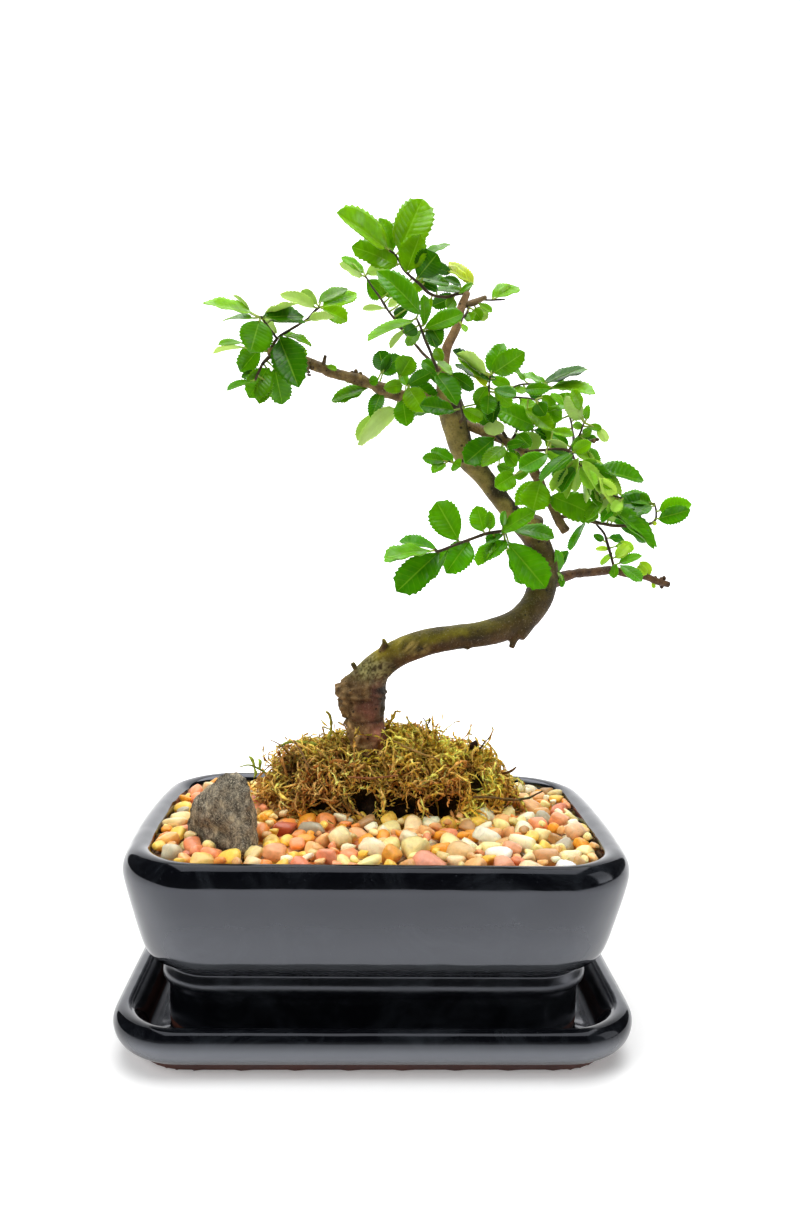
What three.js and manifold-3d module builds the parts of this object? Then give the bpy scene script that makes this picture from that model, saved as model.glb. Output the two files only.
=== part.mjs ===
// A young Chinese elm (Ulmus parvifolia) grown as an indoor bonsai in a black glazed pot on its
// saucer. Units are millimetres, +Z is up, and the origin is the middle of the saucer's underside.
//
// Pieces, from the table up:
//   saucer, pot                     glazed stoneware, the pot with two drain holes in its floor
//   drain_screen_left / _right      square mesh tiles that lie over the holes, under the soil
//   soil                            fills the pot and swells into a mound under the moss
//   gravel                          one bed of pea gravel around the mound
//   rock                            a slate stone set on the soil, in the gravel
//   moss                            a cushion over the mound, with its strands
//   trunk                           trunk with its S-bend, collar, pruning stubs and leader
//   branch_* and twig_*             each a shoot with its own leaves, grown as one
import * as THREE from "three";
import Module from "manifold-3d";
import { mergeVertices } from "three/addons/utils/BufferGeometryUtils.js";

const wasm = await Module();
wasm.setup();

// driving sizes
const POT = { width: 192, depth: 136, corner: 27, bow: 5.5, rim: 80, floor: 18, wallInset: 9.2 };
const SAUCER = { width: 203, depth: 144, corner: 27, rim: 19.4, floor: 6 };
const GAP = 0.3; // left between pieces that touch
const POT_Z = SAUCER.floor + GAP; // the pot's foot stands on the saucer's floor
const HOLE = { x: 38, radius: 6 }; // drain holes
const SCREEN = { size: 22, thick: 0.8 };
const SOIL_TOP = 66; // under the gravel
const GRAVEL = { slabTop: 73, pebble: 11.8 };
const MOUND = { x: 5, y: 26, rx: 58, ry: 29 }; // the moss cushion's footprint
const STRANDS = 32; // strands of moss that leave the cushion
const GOLDEN_ANGLE = 2.39996; // spreads them evenly around it
const ROCK = { x: -60, y: -29, slant: 0.14 }; // its middle, and how its top falls to the right
const TREE_Y = 20; // the upright plane that the trunk stands in
const LEAF = { half: 0.32, stalk: 0.4, ratio: 0.56 }; // half thickness, half stalk width

// small helpers
const V = (x, y, z) => new THREE.Vector3(x, y, z);

// a repeatable stream of numbers in 0..1
function stream(seed) {
  let s = seed;
  return () => {
    s = (s * 16807) % 2147483647;
    return s / 2147483647;
  };
}

// a repeatable number in 0..1 from a place
function hash(u, v, k) {
  const s = Math.sin(u * 12.9898 + v * 78.233 + k * 37.719) * 43758.5453;
  return s - Math.floor(s);
}

// a closed three.js geometry as a solid
function solid(geometry) {
  const g = geometry.clone();
  g.deleteAttribute("normal");
  g.deleteAttribute("uv");
  const m = mergeVertices(g, 1e-4);
  const mesh = new wasm.Mesh({
    numProp: 3,
    vertProperties: Float32Array.from(m.attributes.position.array),
    triVerts: Uint32Array.from(m.index.array),
  });
  return new wasm.Manifold(mesh);
}

function geometryOf(manifold) {
  const m = manifold.getMesh();
  const g = new THREE.BufferGeometry();
  g.setAttribute("position", new THREE.BufferAttribute(Float32Array.from(m.vertProperties), 3));
  g.setIndex(new THREE.BufferAttribute(Uint32Array.from(m.triVerts), 1));
  g.computeVertexNormals();
  return g;
}

function fromTriangles(points, triangles) {
  const g = new THREE.BufferGeometry();
  const numbers = points.flatMap((p) => [p.x, p.y, p.z]);
  g.setAttribute("position", new THREE.Float32BufferAttribute(numbers, 3));
  g.setIndex(triangles.flat());
  return g;
}

// skins a stack of rings of equal count and closes the first and the last with flat fans
function loft(rings) {
  const n = rings[0].length;
  const tri = [];
  for (let k = 0; k + 1 < rings.length; k++) {
    for (let i = 0; i < n; i++) {
      const j = (i + 1) % n;
      const [a, b] = [k * n + i, k * n + j];
      const [c, d] = [b + n, a + n];
      tri.push([a, b, c], [a, c, d]);
    }
  }
  const last = (rings.length - 1) * n;
  for (let i = 1; i + 1 < n; i++) {
    tri.push([0, i + 1, i], [last, last + i, last + i + 1]);
  }
  return fromTriangles(rings.flat(), tri);
}

// a rectangle with round corners, counter-clockwise, whose short sides bow out by bow at their middle
function roundRect(width, depth, radius, z, bow = 0, steps = 4) {
  const pts = [];
  const put = (x, y) => {
    const bowed = bow * (1 - (2 * y / depth) ** 2);
    pts.push(V(x * (1 + bowed / (width / 2)), y, z));
  };
  const corners = [[1, 1, 0], [-1, 1, 90], [-1, -1, 180], [1, -1, 270]];
  for (const [sx, sy, start] of corners) {
    for (let i = 0; i <= steps; i++) {
      const a = ((start + (90 * i) / steps) * Math.PI) / 180;
      const x = sx * (width / 2 - radius) + radius * Math.cos(a);
      const y = sy * (depth / 2 - radius) + radius * Math.sin(a);
      put(x, y);
    }
    if (bow > 0 && sx !== sy) {
      for (const share of [1 / 3, -1 / 3]) put((sx * width) / 2, sy * (depth / 2 - radius) * share);
    }
  }
  return pts;
}

function ellipse(cx, cy, rx, ry, z, n = 16) {
  return Array.from({ length: n }, (_, i) => {
    const a = (2 * Math.PI * i) / n;
    return V(cx + rx * Math.cos(a), cy + ry * Math.sin(a), z);
  });
}

// a tube through points of their own radii, with rings square to the path
function tube(points, radii, sides, turn = 0) {
  const tangents = points.map((p, i) => {
    const before = points[Math.max(i - 1, 0)];
    const after = points[Math.min(i + 1, points.length - 1)];
    return after.clone().sub(before).normalize();
  });
  let side = V(0, 1, 0);
  const rings = points.map((p, i) => {
    side = side.clone().addScaledVector(tangents[i], -side.dot(tangents[i])).normalize();
    const other = tangents[i].clone().cross(side);
    return Array.from({ length: sides }, (_, k) => {
      const a = turn + (2 * Math.PI * k) / sides;
      const out = side.clone().multiplyScalar(Math.cos(a)).addScaledVector(other, Math.sin(a));
      return p.clone().addScaledVector(out, radii[i]);
    });
  });
  return loft(rings);
}

const group = new THREE.Group();
function piece(name, manifold, colour, roughness, metalness = 0) {
  const material = new THREE.MeshStandardMaterial({ color: colour, roughness, metalness });
  const mesh = new THREE.Mesh(geometryOf(manifold), material);
  mesh.name = name;
  group.add(mesh);
}

// pot and saucer
// each is one wall swept around a rounded rectangle: [inset from the outline, height] from the
// middle of the underside, up the outside, over the rim and down the inside to the floor
const saucerProfile = [
  [10.4, 0], [9.4, 2.8], [6.6, 3.8], [3.2, 6.2], [1, 9.6], [0, 14],
  [0.4, 17], [2.2, 19], [4.6, SAUCER.rim], [7.6, 18.6], [10, 15.6], [12.8, 7.6], [17, SAUCER.floor],
];
const saucerRings = saucerProfile.map(([inset, z]) =>
  roundRect(SAUCER.width - 2 * inset, SAUCER.depth - 2 * inset, SAUCER.corner - 0.6 * inset, z));
piece("saucer", solid(loft(saucerRings)), 0x0c0d10, 0.12);

const potProfile = [
  [24.5, POT_Z + 3.2], [23.5, POT_Z], [15.6, POT_Z], [15.6, 24.2], [13.4, 26.4], [13.4, 30.6],
  [15.2, 32.6], [13.2, 34.8], [9.4, 37], [7, 40.4], [4.4, 50], [1.9, 61], [0.1, 72],
  [0.4, 76], [2.4, 79], [5, POT.rim], [8, 79.6], [POT.wallInset, 78], [POT.wallInset, 64],
  [13.4, 42], [20, 25], [27, POT.floor],
];
// the outline of the pot, and of what fills it, at an inset from the outside
const potOutline = (inset) => ({
  width: POT.width - 2 * inset,
  depth: POT.depth - 2 * inset,
  corner: POT.corner - 0.62 * inset,
  bow: POT.bow - 0.2 * inset,
});
function potRing(inset, z) {
  const { width, depth, corner, bow } = potOutline(inset);
  return roundRect(width, depth, corner, z, bow);
}
let pot = solid(loft(potProfile.map(([inset, z]) => potRing(inset, z))));
for (const sx of [-1, 1]) {
  const drill = new THREE.CylinderGeometry(HOLE.radius, HOLE.radius, 24, 12).rotateX(Math.PI / 2);
  pot = pot.subtract(solid(drill.translate(sx * HOLE.x, 0, 12)));
}
piece("pot", pot, 0x0c0d10, 0.12);

// drain screens
const screenZ = POT.floor + GAP + SCREEN.thick / 2;
for (const [name, sx] of [["drain_screen_left", -1], ["drain_screen_right", 1]]) {
  const square = new THREE.BoxGeometry(SCREEN.size, SCREEN.size, SCREEN.thick);
  let tile = solid(square.translate(sx * HOLE.x, 0, screenZ));
  for (const dx of [-6, -2, 2, 6]) {
    const slot = new THREE.BoxGeometry(2, 16, 3).translate(sx * HOLE.x + dx, 0, screenZ);
    tile = tile.subtract(solid(slot));
  }
  piece(name, tile, 0x1d1f1e, 0.7);
}

// trunk
// The tree is drawn as it is seen from in front: [u, v] is a place on the trunk's upright plane,
// and depth moves it along its line of sight, away from the eye (+) or towards it (-).
const EYE = V(-8.4, -407.7, 209.6);
const DEEP = 1.6; // how far one unit of a shoot's depth goes
function seen(u, v, depth = 0) {
  const reach = TREE_Y - EYE.y;
  return V(u, TREE_Y, v).sub(EYE).multiplyScalar((reach + depth) / reach).add(EYE);
}
// a woody path: [u, v, depth, radius]
function stemOf(path, sides, extra = 0, turn = 0) {
  const points = path.map(([u, v, depth]) => seen(u, v, DEEP * depth));
  const radii = path.map(([, , , radius]) => radius + extra);
  return solid(tube(points, radii, sides, turn));
}

const trunkPath = [
  [-1.5, 74, 1, 10.6], [-1.8, 86, 0.5, 9.4], [-2.5, 97, 0, 8], [-4.2, 106, 0, 7.9],
  [-6, 114.5, 0, 8.8], [-7.3, 122, 0, 10.2], [-7.8, 128, 0, 10.8], [-6.8, 133, -0.5, 9.2],
  [-4.4, 138, -1, 6.9], [1, 143.5, -2, 6.4], [7, 147, -3, 6.3], [15, 150.6, -4.5, 6.1],
  [25, 153.8, -5.5, 5.7], [35, 155.4, -6, 5.5], [45, 156.6, -6, 5.6], [54.5, 159.4, -5, 5.9],
  [63, 163.4, -3.5, 6.2], [69, 169.6, -1.5, 6.4], [72, 177.5, 1, 6.6], [72.8, 187, 3, 6.3],
  [70, 197, 4, 5.8], [64.4, 204.4, 4, 5.2], [57.5, 211, 3.5, 4.5], [50.5, 219.6, 3, 4.2],
  [43.5, 228, 2, 4.5], [37.6, 234.6, 1, 5.2], [34, 240.6, 0.5, 5.6], [32, 247, 0, 5.8],
  [30, 254, 0, 6], [27.8, 261, 0, 5.2], [26.2, 267, 0, 3.8], [25.6, 273, 0, 2.6],
  [26.6, 282, 1, 2.2], [30.6, 291, 2, 2.1], [32.6, 300, 3, 1.9], [35.2, 306.4, 4, 1.5],
];
// pruning stubs: [from u, v, depth, radius] to [u, v, depth, radius]
const stubs = [
  [[0, 146, -3, 2.6], [3.4, 153.4, -6, 1.5]], // low bend, upper side
  [[-8, 132, -2, 3.4], [-11.8, 141.4, -5, 1.7]], // above the collar
  [[37, 154, -6, 2.6], [40.6, 148.6, -8, 1.6]], // underside of the level stretch
  [[66.4, 202, 3, 4.2], [69.4, 209.6, 1, 3]], // old cut above the second bend
  [[64, 164, -4, 4], [59.4, 151.4, -6, 2.4]], // knuckle under the first bend
];
const trunkSolids = (extra) => {
  let t = stemOf(trunkPath, 10, extra);
  for (const s of stubs) t = t.add(stemOf(s, 6, extra));
  return t;
};
const trunk = trunkSolids(0);
const trunkClear = trunkSolids(GAP + 0.1);
piece("trunk", trunk, 0x6f675c, 0.85);

// shoots with their leaves
// leaf: [base u, v, tip u, v, width as seen, tone, lean, lift]. The blade turns about its midrib
// until it looks that wide; tone p shows its underside. lean is the tip's depth from the base's,
// chosen by the leaf's place where it isn't given, and lift is the base's depth from its twig's.
function nearest(paths, u, v) {
  let best = null;
  for (const path of paths) {
    for (let i = 0; i + 1 < path.length; i++) {
      const [ax, ay, ad] = path[i];
      const [bx, by, bd] = path[i + 1];
      const [dx, dy] = [bx - ax, by - ay];
      const t = Math.min(1, Math.max(0, ((u - ax) * dx + (v - ay) * dy) / (dx * dx + dy * dy)));
      const [pu, pv] = [ax + t * dx, ay + t * dy];
      const far = Math.hypot(u - pu, v - pv);
      if (!best || far < best.far) best = { u: pu, v: pv, d: DEEP * (ad + t * (bd - ad)), far };
    }
  }
  return best;
}

function leafFrame(paths, [u0, v0, u1, v1, width, tone, lean, lift]) {
  const at = nearest(paths, u0, v0);
  const flat = Math.hypot(u1 - u0, v1 - v0);
  const h = hash(u0, v0, 1);
  if (lean === undefined) lean = flat * (0.12 + 0.42 * hash(u0, v0, 2)) * (h < 0.5 ? -1 : 1);
  if (lift === undefined) lift = 2.4 * (hash(u0, v0, 3) - 0.5);
  const root = seen(at.u, at.v, at.d);
  let base = seen(u0, v0, at.d + lift);
  const tip = seen(u1, v1, at.d + lift + lean);
  const along = tip.clone().sub(base).normalize();
  if (base.distanceTo(root) < 1.8) base = root.clone().addScaledVector(along, 1.8);
  const length = tip.distanceTo(base);
  const toEye = EYE.clone().sub(base).normalize();
  const s0 = along.clone().cross(toEye).normalize();
  const n0 = s0.clone().cross(along);
  const real = Math.max(width, LEAF.ratio * length);
  const roll = Math.acos(Math.min(1, Math.max(0.1, width / real)));
  let side = null;
  let up = null;
  let best = -2;
  for (const sign of [1, -1]) {
    const a = sign * roll;
    const s = s0.clone().multiplyScalar(Math.cos(a)).addScaledVector(n0, Math.sin(a));
    const n = n0.clone().multiplyScalar(Math.cos(a)).addScaledVector(s0, -Math.sin(a));
    const top = tone === "p" ? n.clone().negate() : n;
    if (top.z > best) {
      best = top.z;
      up = top;
      side = tone === "p" ? s.clone().negate() : s;
    }
  }
  return { root, base, along, side, up, length, width: real };
}

// half outline of a blade: [share of length, share of half width], with blunt teeth
const bigEdge = [[0.13, 0.66], [0.34, 1], [0.42, 0.86], [0.62, 0.92], [0.7, 0.7]];
const smallEdge = [[0.18, 0.76], [0.44, 1], [0.54, 0.8]];

function leafSolid(paths, row) {
  const f = leafFrame(paths, row);
  const big = f.length >= 17;
  const edge = big ? bigEdge : smallEdge;
  const ribs = big ? [0.34, 0.68] : [0.44];
  // a point of the blade: x across, t along, off +1 on its upper face and -1 on its lower one
  const at = (x, t, off) => {
    const z = 0.2 * Math.abs(x) + 0.07 * f.length * Math.sin(Math.PI * t) + off * LEAF.half;
    const p = f.base.clone().addScaledVector(f.side, x);
    return p.addScaledVector(f.along, t * f.length).addScaledVector(f.up, z);
  };
  const pts = [];
  const put = (p) => pts.push(p) - 1;
  // blade points in pairs, upper then lower
  const pair = (x, t) => [put(at(x, t, 1)), put(at(x, t, -1))];
  const left = edge.map(([t, h]) => pair((-h * f.width) / 2, t));
  const right = edge.map(([t, h]) => pair((h * f.width) / 2, t));
  const mid = ribs.map((t) => pair(0, t));
  const tip = pair(0, 1);
  // the blade's foot is the stalk's section: one upper corner and two lower ones
  const w = LEAF.stalk;
  const T = put(at(0, 0, 1));
  const Ll = put(at(-w, 0, -1));
  const Lr = put(at(w, 0, -1));
  const tri = [[Ll, mid[0][1], Lr]];
  const half = (e, foot, flip) => {
    const list = [[mid[0], e[0], e[1]], [mid[0], e[1], e[2]]];
    if (big) {
      list.push([mid[0], e[2], mid[1]], [mid[1], e[2], e[3]]);
      list.push([mid[1], e[3], e[4]], [mid[1], e[4], tip]);
    } else {
      list.push([mid[0], e[2], tip]);
    }
    for (const [a, c, d] of list) {
      if (flip) tri.push([a[0], d[0], c[0]], [a[1], c[1], d[1]]);
      else tri.push([a[0], c[0], d[0]], [a[1], d[1], c[1]]);
    }
    const rim = [[T, foot], ...e, tip];
    for (let i = 0; i + 1 < rim.length; i++) {
      const [pu, pl] = rim[i];
      const [qu, ql] = rim[i + 1];
      if (flip) tri.push([pl, qu, ql], [pl, pu, qu]);
      else tri.push([pl, ql, qu], [pl, qu, pu]);
    }
    if (flip) tri.push([T, mid[0][0], e[0][0]], [foot, e[0][1], mid[0][1]]);
    else tri.push([T, e[0][0], mid[0][0]], [foot, mid[0][1], e[0][1]]);
  };
  half(right, Lr, false);
  half(left, Ll, true);
  const towards = f.base.clone().sub(f.root).normalize();
  if (towards.dot(f.along) > -0.2) {
    let across = towards.clone().cross(f.up);
    if (across.length() < 0.2) across = f.side.clone();
    across.normalize();
    const over = across.clone().cross(towards).normalize();
    const t = put(f.root.clone().addScaledVector(over, w));
    const low = f.root.clone().addScaledVector(over, -0.6 * w);
    const l = put(low.clone().addScaledVector(across, -w));
    const r = put(low.clone().addScaledVector(across, w));
    tri.push([t, l, r], [r, Lr, T], [r, T, t], [t, T, Ll], [t, Ll, l], [l, Ll, Lr], [l, Lr, r]);
    return solid(fromTriangles(pts, tri));
  }
  tri.push([T, Ll, Lr]);
  const stalk = tube([f.root, f.base.clone().addScaledVector(f.along, 0.8)], [0.45, 0.42], 3);
  return solid(fromTriangles(pts, tri)).add(solid(stalk));
}

function shoot(name, { paths, leaves, parent }, colour = 0x5d8a34) {
  let s = null;
  for (const path of paths) {
    const thick = path[0][3];
    const stem = stemOf(path, thick > 1.4 ? 6 : thick > 0.95 ? 4 : 3, 0, 0.3);
    s = s ? s.add(stem) : stem;
  }
  for (const row of leaves) s = s.add(leafSolid(paths, row));
  s = s.subtract(parent);
  piece(name, s, colour, 0.45);
  return s;
}

const branchLeft = shoot("branch_left", {
  parent: trunkClear,
  paths: [
    [
      [31, 256.6, 0, 3.2], [20, 258.8, -1, 3], [6.5, 261.5, -2, 2.9], [-1.5, 264, -3, 2.7],
      [-8, 266.5, -4, 2.4], [-17.5, 269, -6, 2.3], [-24, 270.5, -7, 2.2], [-28.5, 272.5, -8, 2.1],
      [-35.5, 275, -9, 2], [-43.5, 277, -11, 1.9], [-51, 278.5, -12, 1.6],
    ],
    [[-27.5, 272, -8, 1.2], [-26, 277.5, -10, 0.8]],
    [
      [-50.6, 278.5, -12, 1], [-47, 284, -11, 0.8], [-41.5, 288, -9, 0.7], [-35, 292, -7, 0.7],
      [-29, 298, -4, 0.6],
    ],
    [[-47, 284, -11, 0.7], [-54.5, 293, -16, 0.6]],
    [[-48.8, 278, -11.6, 1.1], [-53.5, 272.5, -15, 0.7], [-56.5, 266, -18, 0.6]],
  ],
  leaves: [
    [-58.5, 294.5, -79, 298, 4.5, "b"], [-58, 292.5, -70.5, 291, 2, "b"],
    [-55, 292.5, -58.5, 278, 14, "b", -5, -1], [-52.5, 293, -35.5, 294, 6, "d"],
    [-62.5, 282, -72.5, 281, 2, "b"], [-54.5, 280, -63, 269.5, 8.5, "b", -4, -1],
    [-57.5, 267, -68.5, 261.5, 2.5, "b"], [-51, 271.5, -59, 258.5, 11, "b", -5, 0],
    [-48, 271.5, -44.5, 256, 9.5, "b"], [-46, 284, -37.5, 263.5, 14.5, "d", -6, -1],
    [-44.5, 284, -37.5, 280.5, 1.5, "b"], [-30.5, 298.5, -46, 303, 4.5, "p"],
    [-30, 299.5, -13, 304, 5.5, "b"], [-29.5, 298.5, -17, 292.5, 7, "b"],
    [-35, 292, -22.5, 294, 3.5, "p"], [-26.5, 273.5, -21, 271.5, 2, "b"],
    [-2, 271, 6.5, 278, 8, "d", 3, 2], [6.5, 269.5, 11.5, 278, 9.5, "b", -3, -1],
    [-9.5, 269.5, -18, 267, 4.5, "d"], [-8, 264, -23.5, 258.5, 5, "b"],
    [-1.5, 262, -5.5, 251, 6.5, "d"], [5, 255.5, -11.5, 239.5, 8.5, "p"],
    [8, 259, 10, 248, 9, "b", -4, -2], [7.5, 266, -0.5, 264.5, 6, "b", -3, -3],
    [10, 266, 20, 271.5, 6.5, "d", -4, -2], [10.5, 264.5, 17.5, 254.5, 9.5, "b", -5, -3],
  ],
});

const twigInnerLeft = shoot("twig_inner_left", {
  parent: trunkClear,
  paths: [
    [[25.6, 268, -2, 1], [21, 277, -8, 0.8], [15.5, 289.5, -13, 0.7], [13, 294.5, -15, 0.6]],
  ],
  leaves: [
    [14.5, 297, -4.5, 314, 9.5, "b", -5, -1], [16.5, 290, 33.5, 297, 8, "b", -5],
    [20, 290.5, 24.5, 284, 8, "d", -4], [17.5, 289.5, 22, 282, 4.5, "d", -6],
    [11, 293.5, -8, 284.5, 5, "b", -6], [14, 291.5, 8, 288, 5.5, "d", -3],
  ],
});

const twigUpperLeft = shoot("twig_upper_left", {
  parent: trunkClear,
  paths: [
    [
      [25.4, 272, 2, 1], [18, 278, 5, 0.9], [13, 283, 7, 0.8], [7, 289.5, 9, 0.7],
      [-0.5, 299.5, 11, 0.7], [-4.5, 305, 13, 0.6], [-9.5, 311.5, 15, 0.5],
    ],
  ],
  leaves: [
    [-9.5, 313, -21, 316.5, 5, "p", 4], [-9, 312.5, -1, 303.5, 9.5, "b", 4],
    [-1, 297.5, -10.5, 297.5, 3, "p"], [10, 303.5, 0.5, 299, 3, "p", 5],
    [10, 299.5, 3.5, 294.5, 5, "d", 4], [2.5, 306, -3, 312, 3.5, "b", 3],
  ],
});

const twigTopLeft = shoot("twig_top_left", {
  parent: trunkClear,
  paths: [
    [
      [35.2, 306.6, 5, 1.2], [30, 305.4, 4, 0.9], [25.5, 304, 3, 0.9], [19.5, 305, 2, 0.8],
      [13.5, 309.5, 1, 0.8], [7, 315, 0, 0.7], [3.5, 320.5, -1, 0.7], [0.5, 323, -2, 0.5],
    ],
  ],
  leaves: [
    [1.5, 324, -22, 338, 9.5, "b"], [5, 322.5, 14.5, 344.5, 15.5, "b", 5],
    [4, 316.5, -15.5, 324, 10, "b", -5], [8.5, 314.5, 14, 330, 12, "b", -4, -2],
    [15.5, 321, 27, 326.5, 3.5, "b", 4, 3], [13.5, 312, 21.5, 322, 12.5, "d", -5, -2],
    [35.5, 310.5, 25, 317, 3.5, "y", 3], [13, 311.5, 27, 309.5, 5, "b", 5, 3],
    [32.5, 306.5, 19.5, 306.5, 3.5, "b", 4, 3], [32, 309.5, 24.5, 312, 3.5, "d", -3, -2],
    [29.5, 303, 26.5, 299, 5, "b", -2], [31.5, 306, 37.5, 310, 2.5, "b", -4, -3],
  ],
});

const twigTopRight = shoot("twig_top_right", {
  parent: trunkClear,
  paths: [
    [[32.8, 300.5, 3, 1.5], [38, 302.2, 5, 1.4], [43, 304.5, 7, 1.1]],
    [[41, 303, 6, 0.6], [51.5, 304, 10, 0.5]],
    [[36, 301.6, 4.5, 0.8], [34.6, 297, 1, 0.6], [32, 293.6, -2, 0.5]],
  ],
  leaves: [
    [46, 304, 57.5, 309, 5, "b", 4], [39, 301.5, 46, 298, 3, "b"], [38, 299, 41.5, 294.5, 5.5, "b"],
    [34.5, 299, 37, 294, 5, "b", -4], [31.5, 293, 35, 289.5, 2.5, "b", -3],
  ],
});

const twigTrunkTop = shoot("twig_trunk_top", {
  parent: trunkClear,
  paths: [
    [
      [33, 250, -2, 1], [34.6, 253, -8, 0.8], [32.6, 259, -11, 0.7], [29, 268, -12, 0.7],
      [25, 274, -13, 0.6],
    ],
  ],
  leaves: [
    [31, 255.5, 15.5, 257.5, 7, "d", -3, -1], [22.5, 271, 32, 258, 7, "d", -7, -2],
    [34, 257.5, 43.5, 252, 6, "b", -4], [29, 271, 39, 264.5, 6, "d", 3],
    [23, 276.5, 29, 270.5, 3, "b", -4], [40.5, 259, 46, 249.5, 7, "d", 2],
  ],
});

const hangingPath = [
  [32.6, 249.4, 0, 2.6], [40, 248, -1, 2.3], [50.5, 244, -4, 2.2], [62.5, 238, -7, 2.1],
  [68, 228, -8, 2.1], [73, 218, -9, 2], [78, 210, -9, 2], [82, 204, -8, 1.9],
];
const hangingClear = stemOf(hangingPath, 6, GAP + 0.1, 0.3);
const branchHanging = shoot("branch_hanging", {
  parent: trunkClear,
  paths: [
    hangingPath,
    [[52.5, 242, -5, 0.8], [47, 248, -9, 0.6]],
    [[55.5, 242, -5, 0.9], [48, 253.5, -9, 0.7], [46, 262.5, -13, 0.6], [46, 271, -16, 0.5]],
    [
      [55.5, 242, -5, 0.9], [58.5, 248, -3, 0.7], [56, 255.5, 1, 0.7], [54.5, 261, 4, 0.6],
      [56.5, 266, 7, 0.5], [63, 268, 9, 0.5], [70, 268, 11, 0.5],
    ],
    [[54.5, 261, 4, 0.6], [60, 262, 0, 0.5], [66.5, 261, -4, 0.5]],
    [[59.5, 239.5, -6.2, 0.9], [65, 243, -2, 0.7], [65.5, 249, 1, 0.6]],
  ],
  leaves: [
    [44.5, 271.5, 32, 280.5, 6, "p", -4], [46.5, 271.5, 61, 281.5, 9.5, "b", -5],
    [63, 269, 53.5, 276, 3, "b", 5], [61.5, 265.5, 73, 266, 6, "b", -4],
    [47.5, 265.5, 58, 262.5, 4.5, "d", -4], [56.5, 266, 46.5, 269.5, 5, "b", 4],
    [66, 250, 47, 257.5, 10.5, "b", -6, -4], [66.5, 261.5, 71, 254.5, 7, "d", -4],
    [62.5, 257, 74.5, 248, 7, "b", -5], [48, 251.5, 48.5, 245, 8.5, "p", -3, -2],
    [48.5, 243.5, 36, 232.5, 11, "d", -6, -3], [53, 240, 43.5, 231.5, 7, "b", -5, -4],
    [54.5, 240.5, 62, 242, 4, "d", -4, -4], [54, 238, 59, 232, 6, "b", -4, -2],
    [59, 246, 65, 240.5, 6.5, "b", -4, -6], [69, 269, 87.5, 276, 4, "d", -4],
    [73.5, 266.5, 93, 264.5, 4, "b", -6], [58, 228, 49.5, 222.5, 8.5, "b", -3, -2],
    [70, 225.5, 67, 212.5, 13, "b", -5, -3], [75, 219, 96.5, 210, 10.5, "b", -6, -4],
  ],
});

const twigRightMiddle = shoot("twig_right_middle", {
  parent: hangingClear,
  paths: [
    [
      [62.5, 238, -8, 1], [72.5, 239.5, -12, 0.8], [82, 239, -14, 0.7], [85, 235, -16, 0.6],
      [91, 230.5, -17, 0.6], [95, 226, -18, 0.6], [101, 221, -18, 0.5], [107, 218.8, -18, 0.5],
    ],
    [
      [82, 239, -14, 0.7], [84, 243.4, -11, 0.7], [83.5, 247.5, -8, 0.6], [82.5, 252, -5, 0.6],
      [80.5, 257.5, -2, 0.5],
    ],
    [[84, 243.4, -11, 0.7], [86.5, 246, -12, 0.6], [88.5, 251.6, -14, 0.5]],
  ],
  leaves: [
    [87, 253.5, 80, 263, 7, "p", 4], [80, 259, 73, 264, 3.5, "b", 3],
    [89.5, 253, 90, 259.5, 3, "b"], [88.5, 250, 96.5, 249.5, 3, "b"],
    [85.5, 246.5, 92, 249, 4, "b", -4], [84.5, 239, 92, 243, 5.5, "b", -5],
    [72.5, 237.5, 60, 230.5, 8, "b", -5, -2], [83, 238, 70, 226, 5, "d", -9, -3],
    [86.5, 233.5, 79.5, 221, 5, "d", -5], [86.5, 233.5, 85.5, 221, 5.5, "p", 3],
    [87, 234.5, 93.5, 222.5, 6, "b", -6], [87, 235, 95, 233, 5, "b", 4],
    [96, 231, 116, 226.5, 5.5, "b", 5, 4], [83.5, 231, 75.5, 222.5, 5.5, "y", 5, 5],
    [94.5, 228.5, 104.5, 221, 6, "b", -5], [107.5, 219, 102.5, 213, 4.5, "y", -4],
    [96, 223, 105, 218, 5.5, "p", 5, 3], [95, 228.5, 103.5, 224, 4, "b", -3],
  ],
});

const branchRight = shoot("branch_right", {
  parent: trunkClear,
  paths: [
    [
      [72.4, 180, 3, 3], [78.5, 181, 5, 2.7], [81, 183, 6, 2.3], [88.5, 185, 8, 2.1],
      [95.5, 185.5, 10, 2], [102.5, 186.5, 12, 1.9], [108, 186, 13, 1.8], [118.5, 184, 14, 1.7],
      [125, 182, 15, 1.5], [129.5, 180.5, 16, 1.3],
    ],
    [[105, 186.5, 12.5, 0.9], [101, 198.5, 15, 0.8], [99, 203.5, 16, 0.7], [95.5, 207.5, 17, 0.6]],
  ],
  leaves: [
    [101, 199, 94.5, 202.5, 3.5, "d"], [105, 192.5, 110.5, 198.5, 5.5, "y", 3],
    [107, 190, 117, 193.5, 4.5, "b", -4], [107.5, 189, 117.5, 182, 6, "b", -6, -3],
    [105.5, 189.5, 104.5, 183, 4, "b", -3, -2.5], [115.5, 189, 119.5, 185, 4, "y", -3, -3],
    [79.5, 185.5, 78, 195.5, 5, "b", -5, -3], [80.5, 185, 81, 178.5, 2.5, "b", -4, -4],
  ],
});

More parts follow.
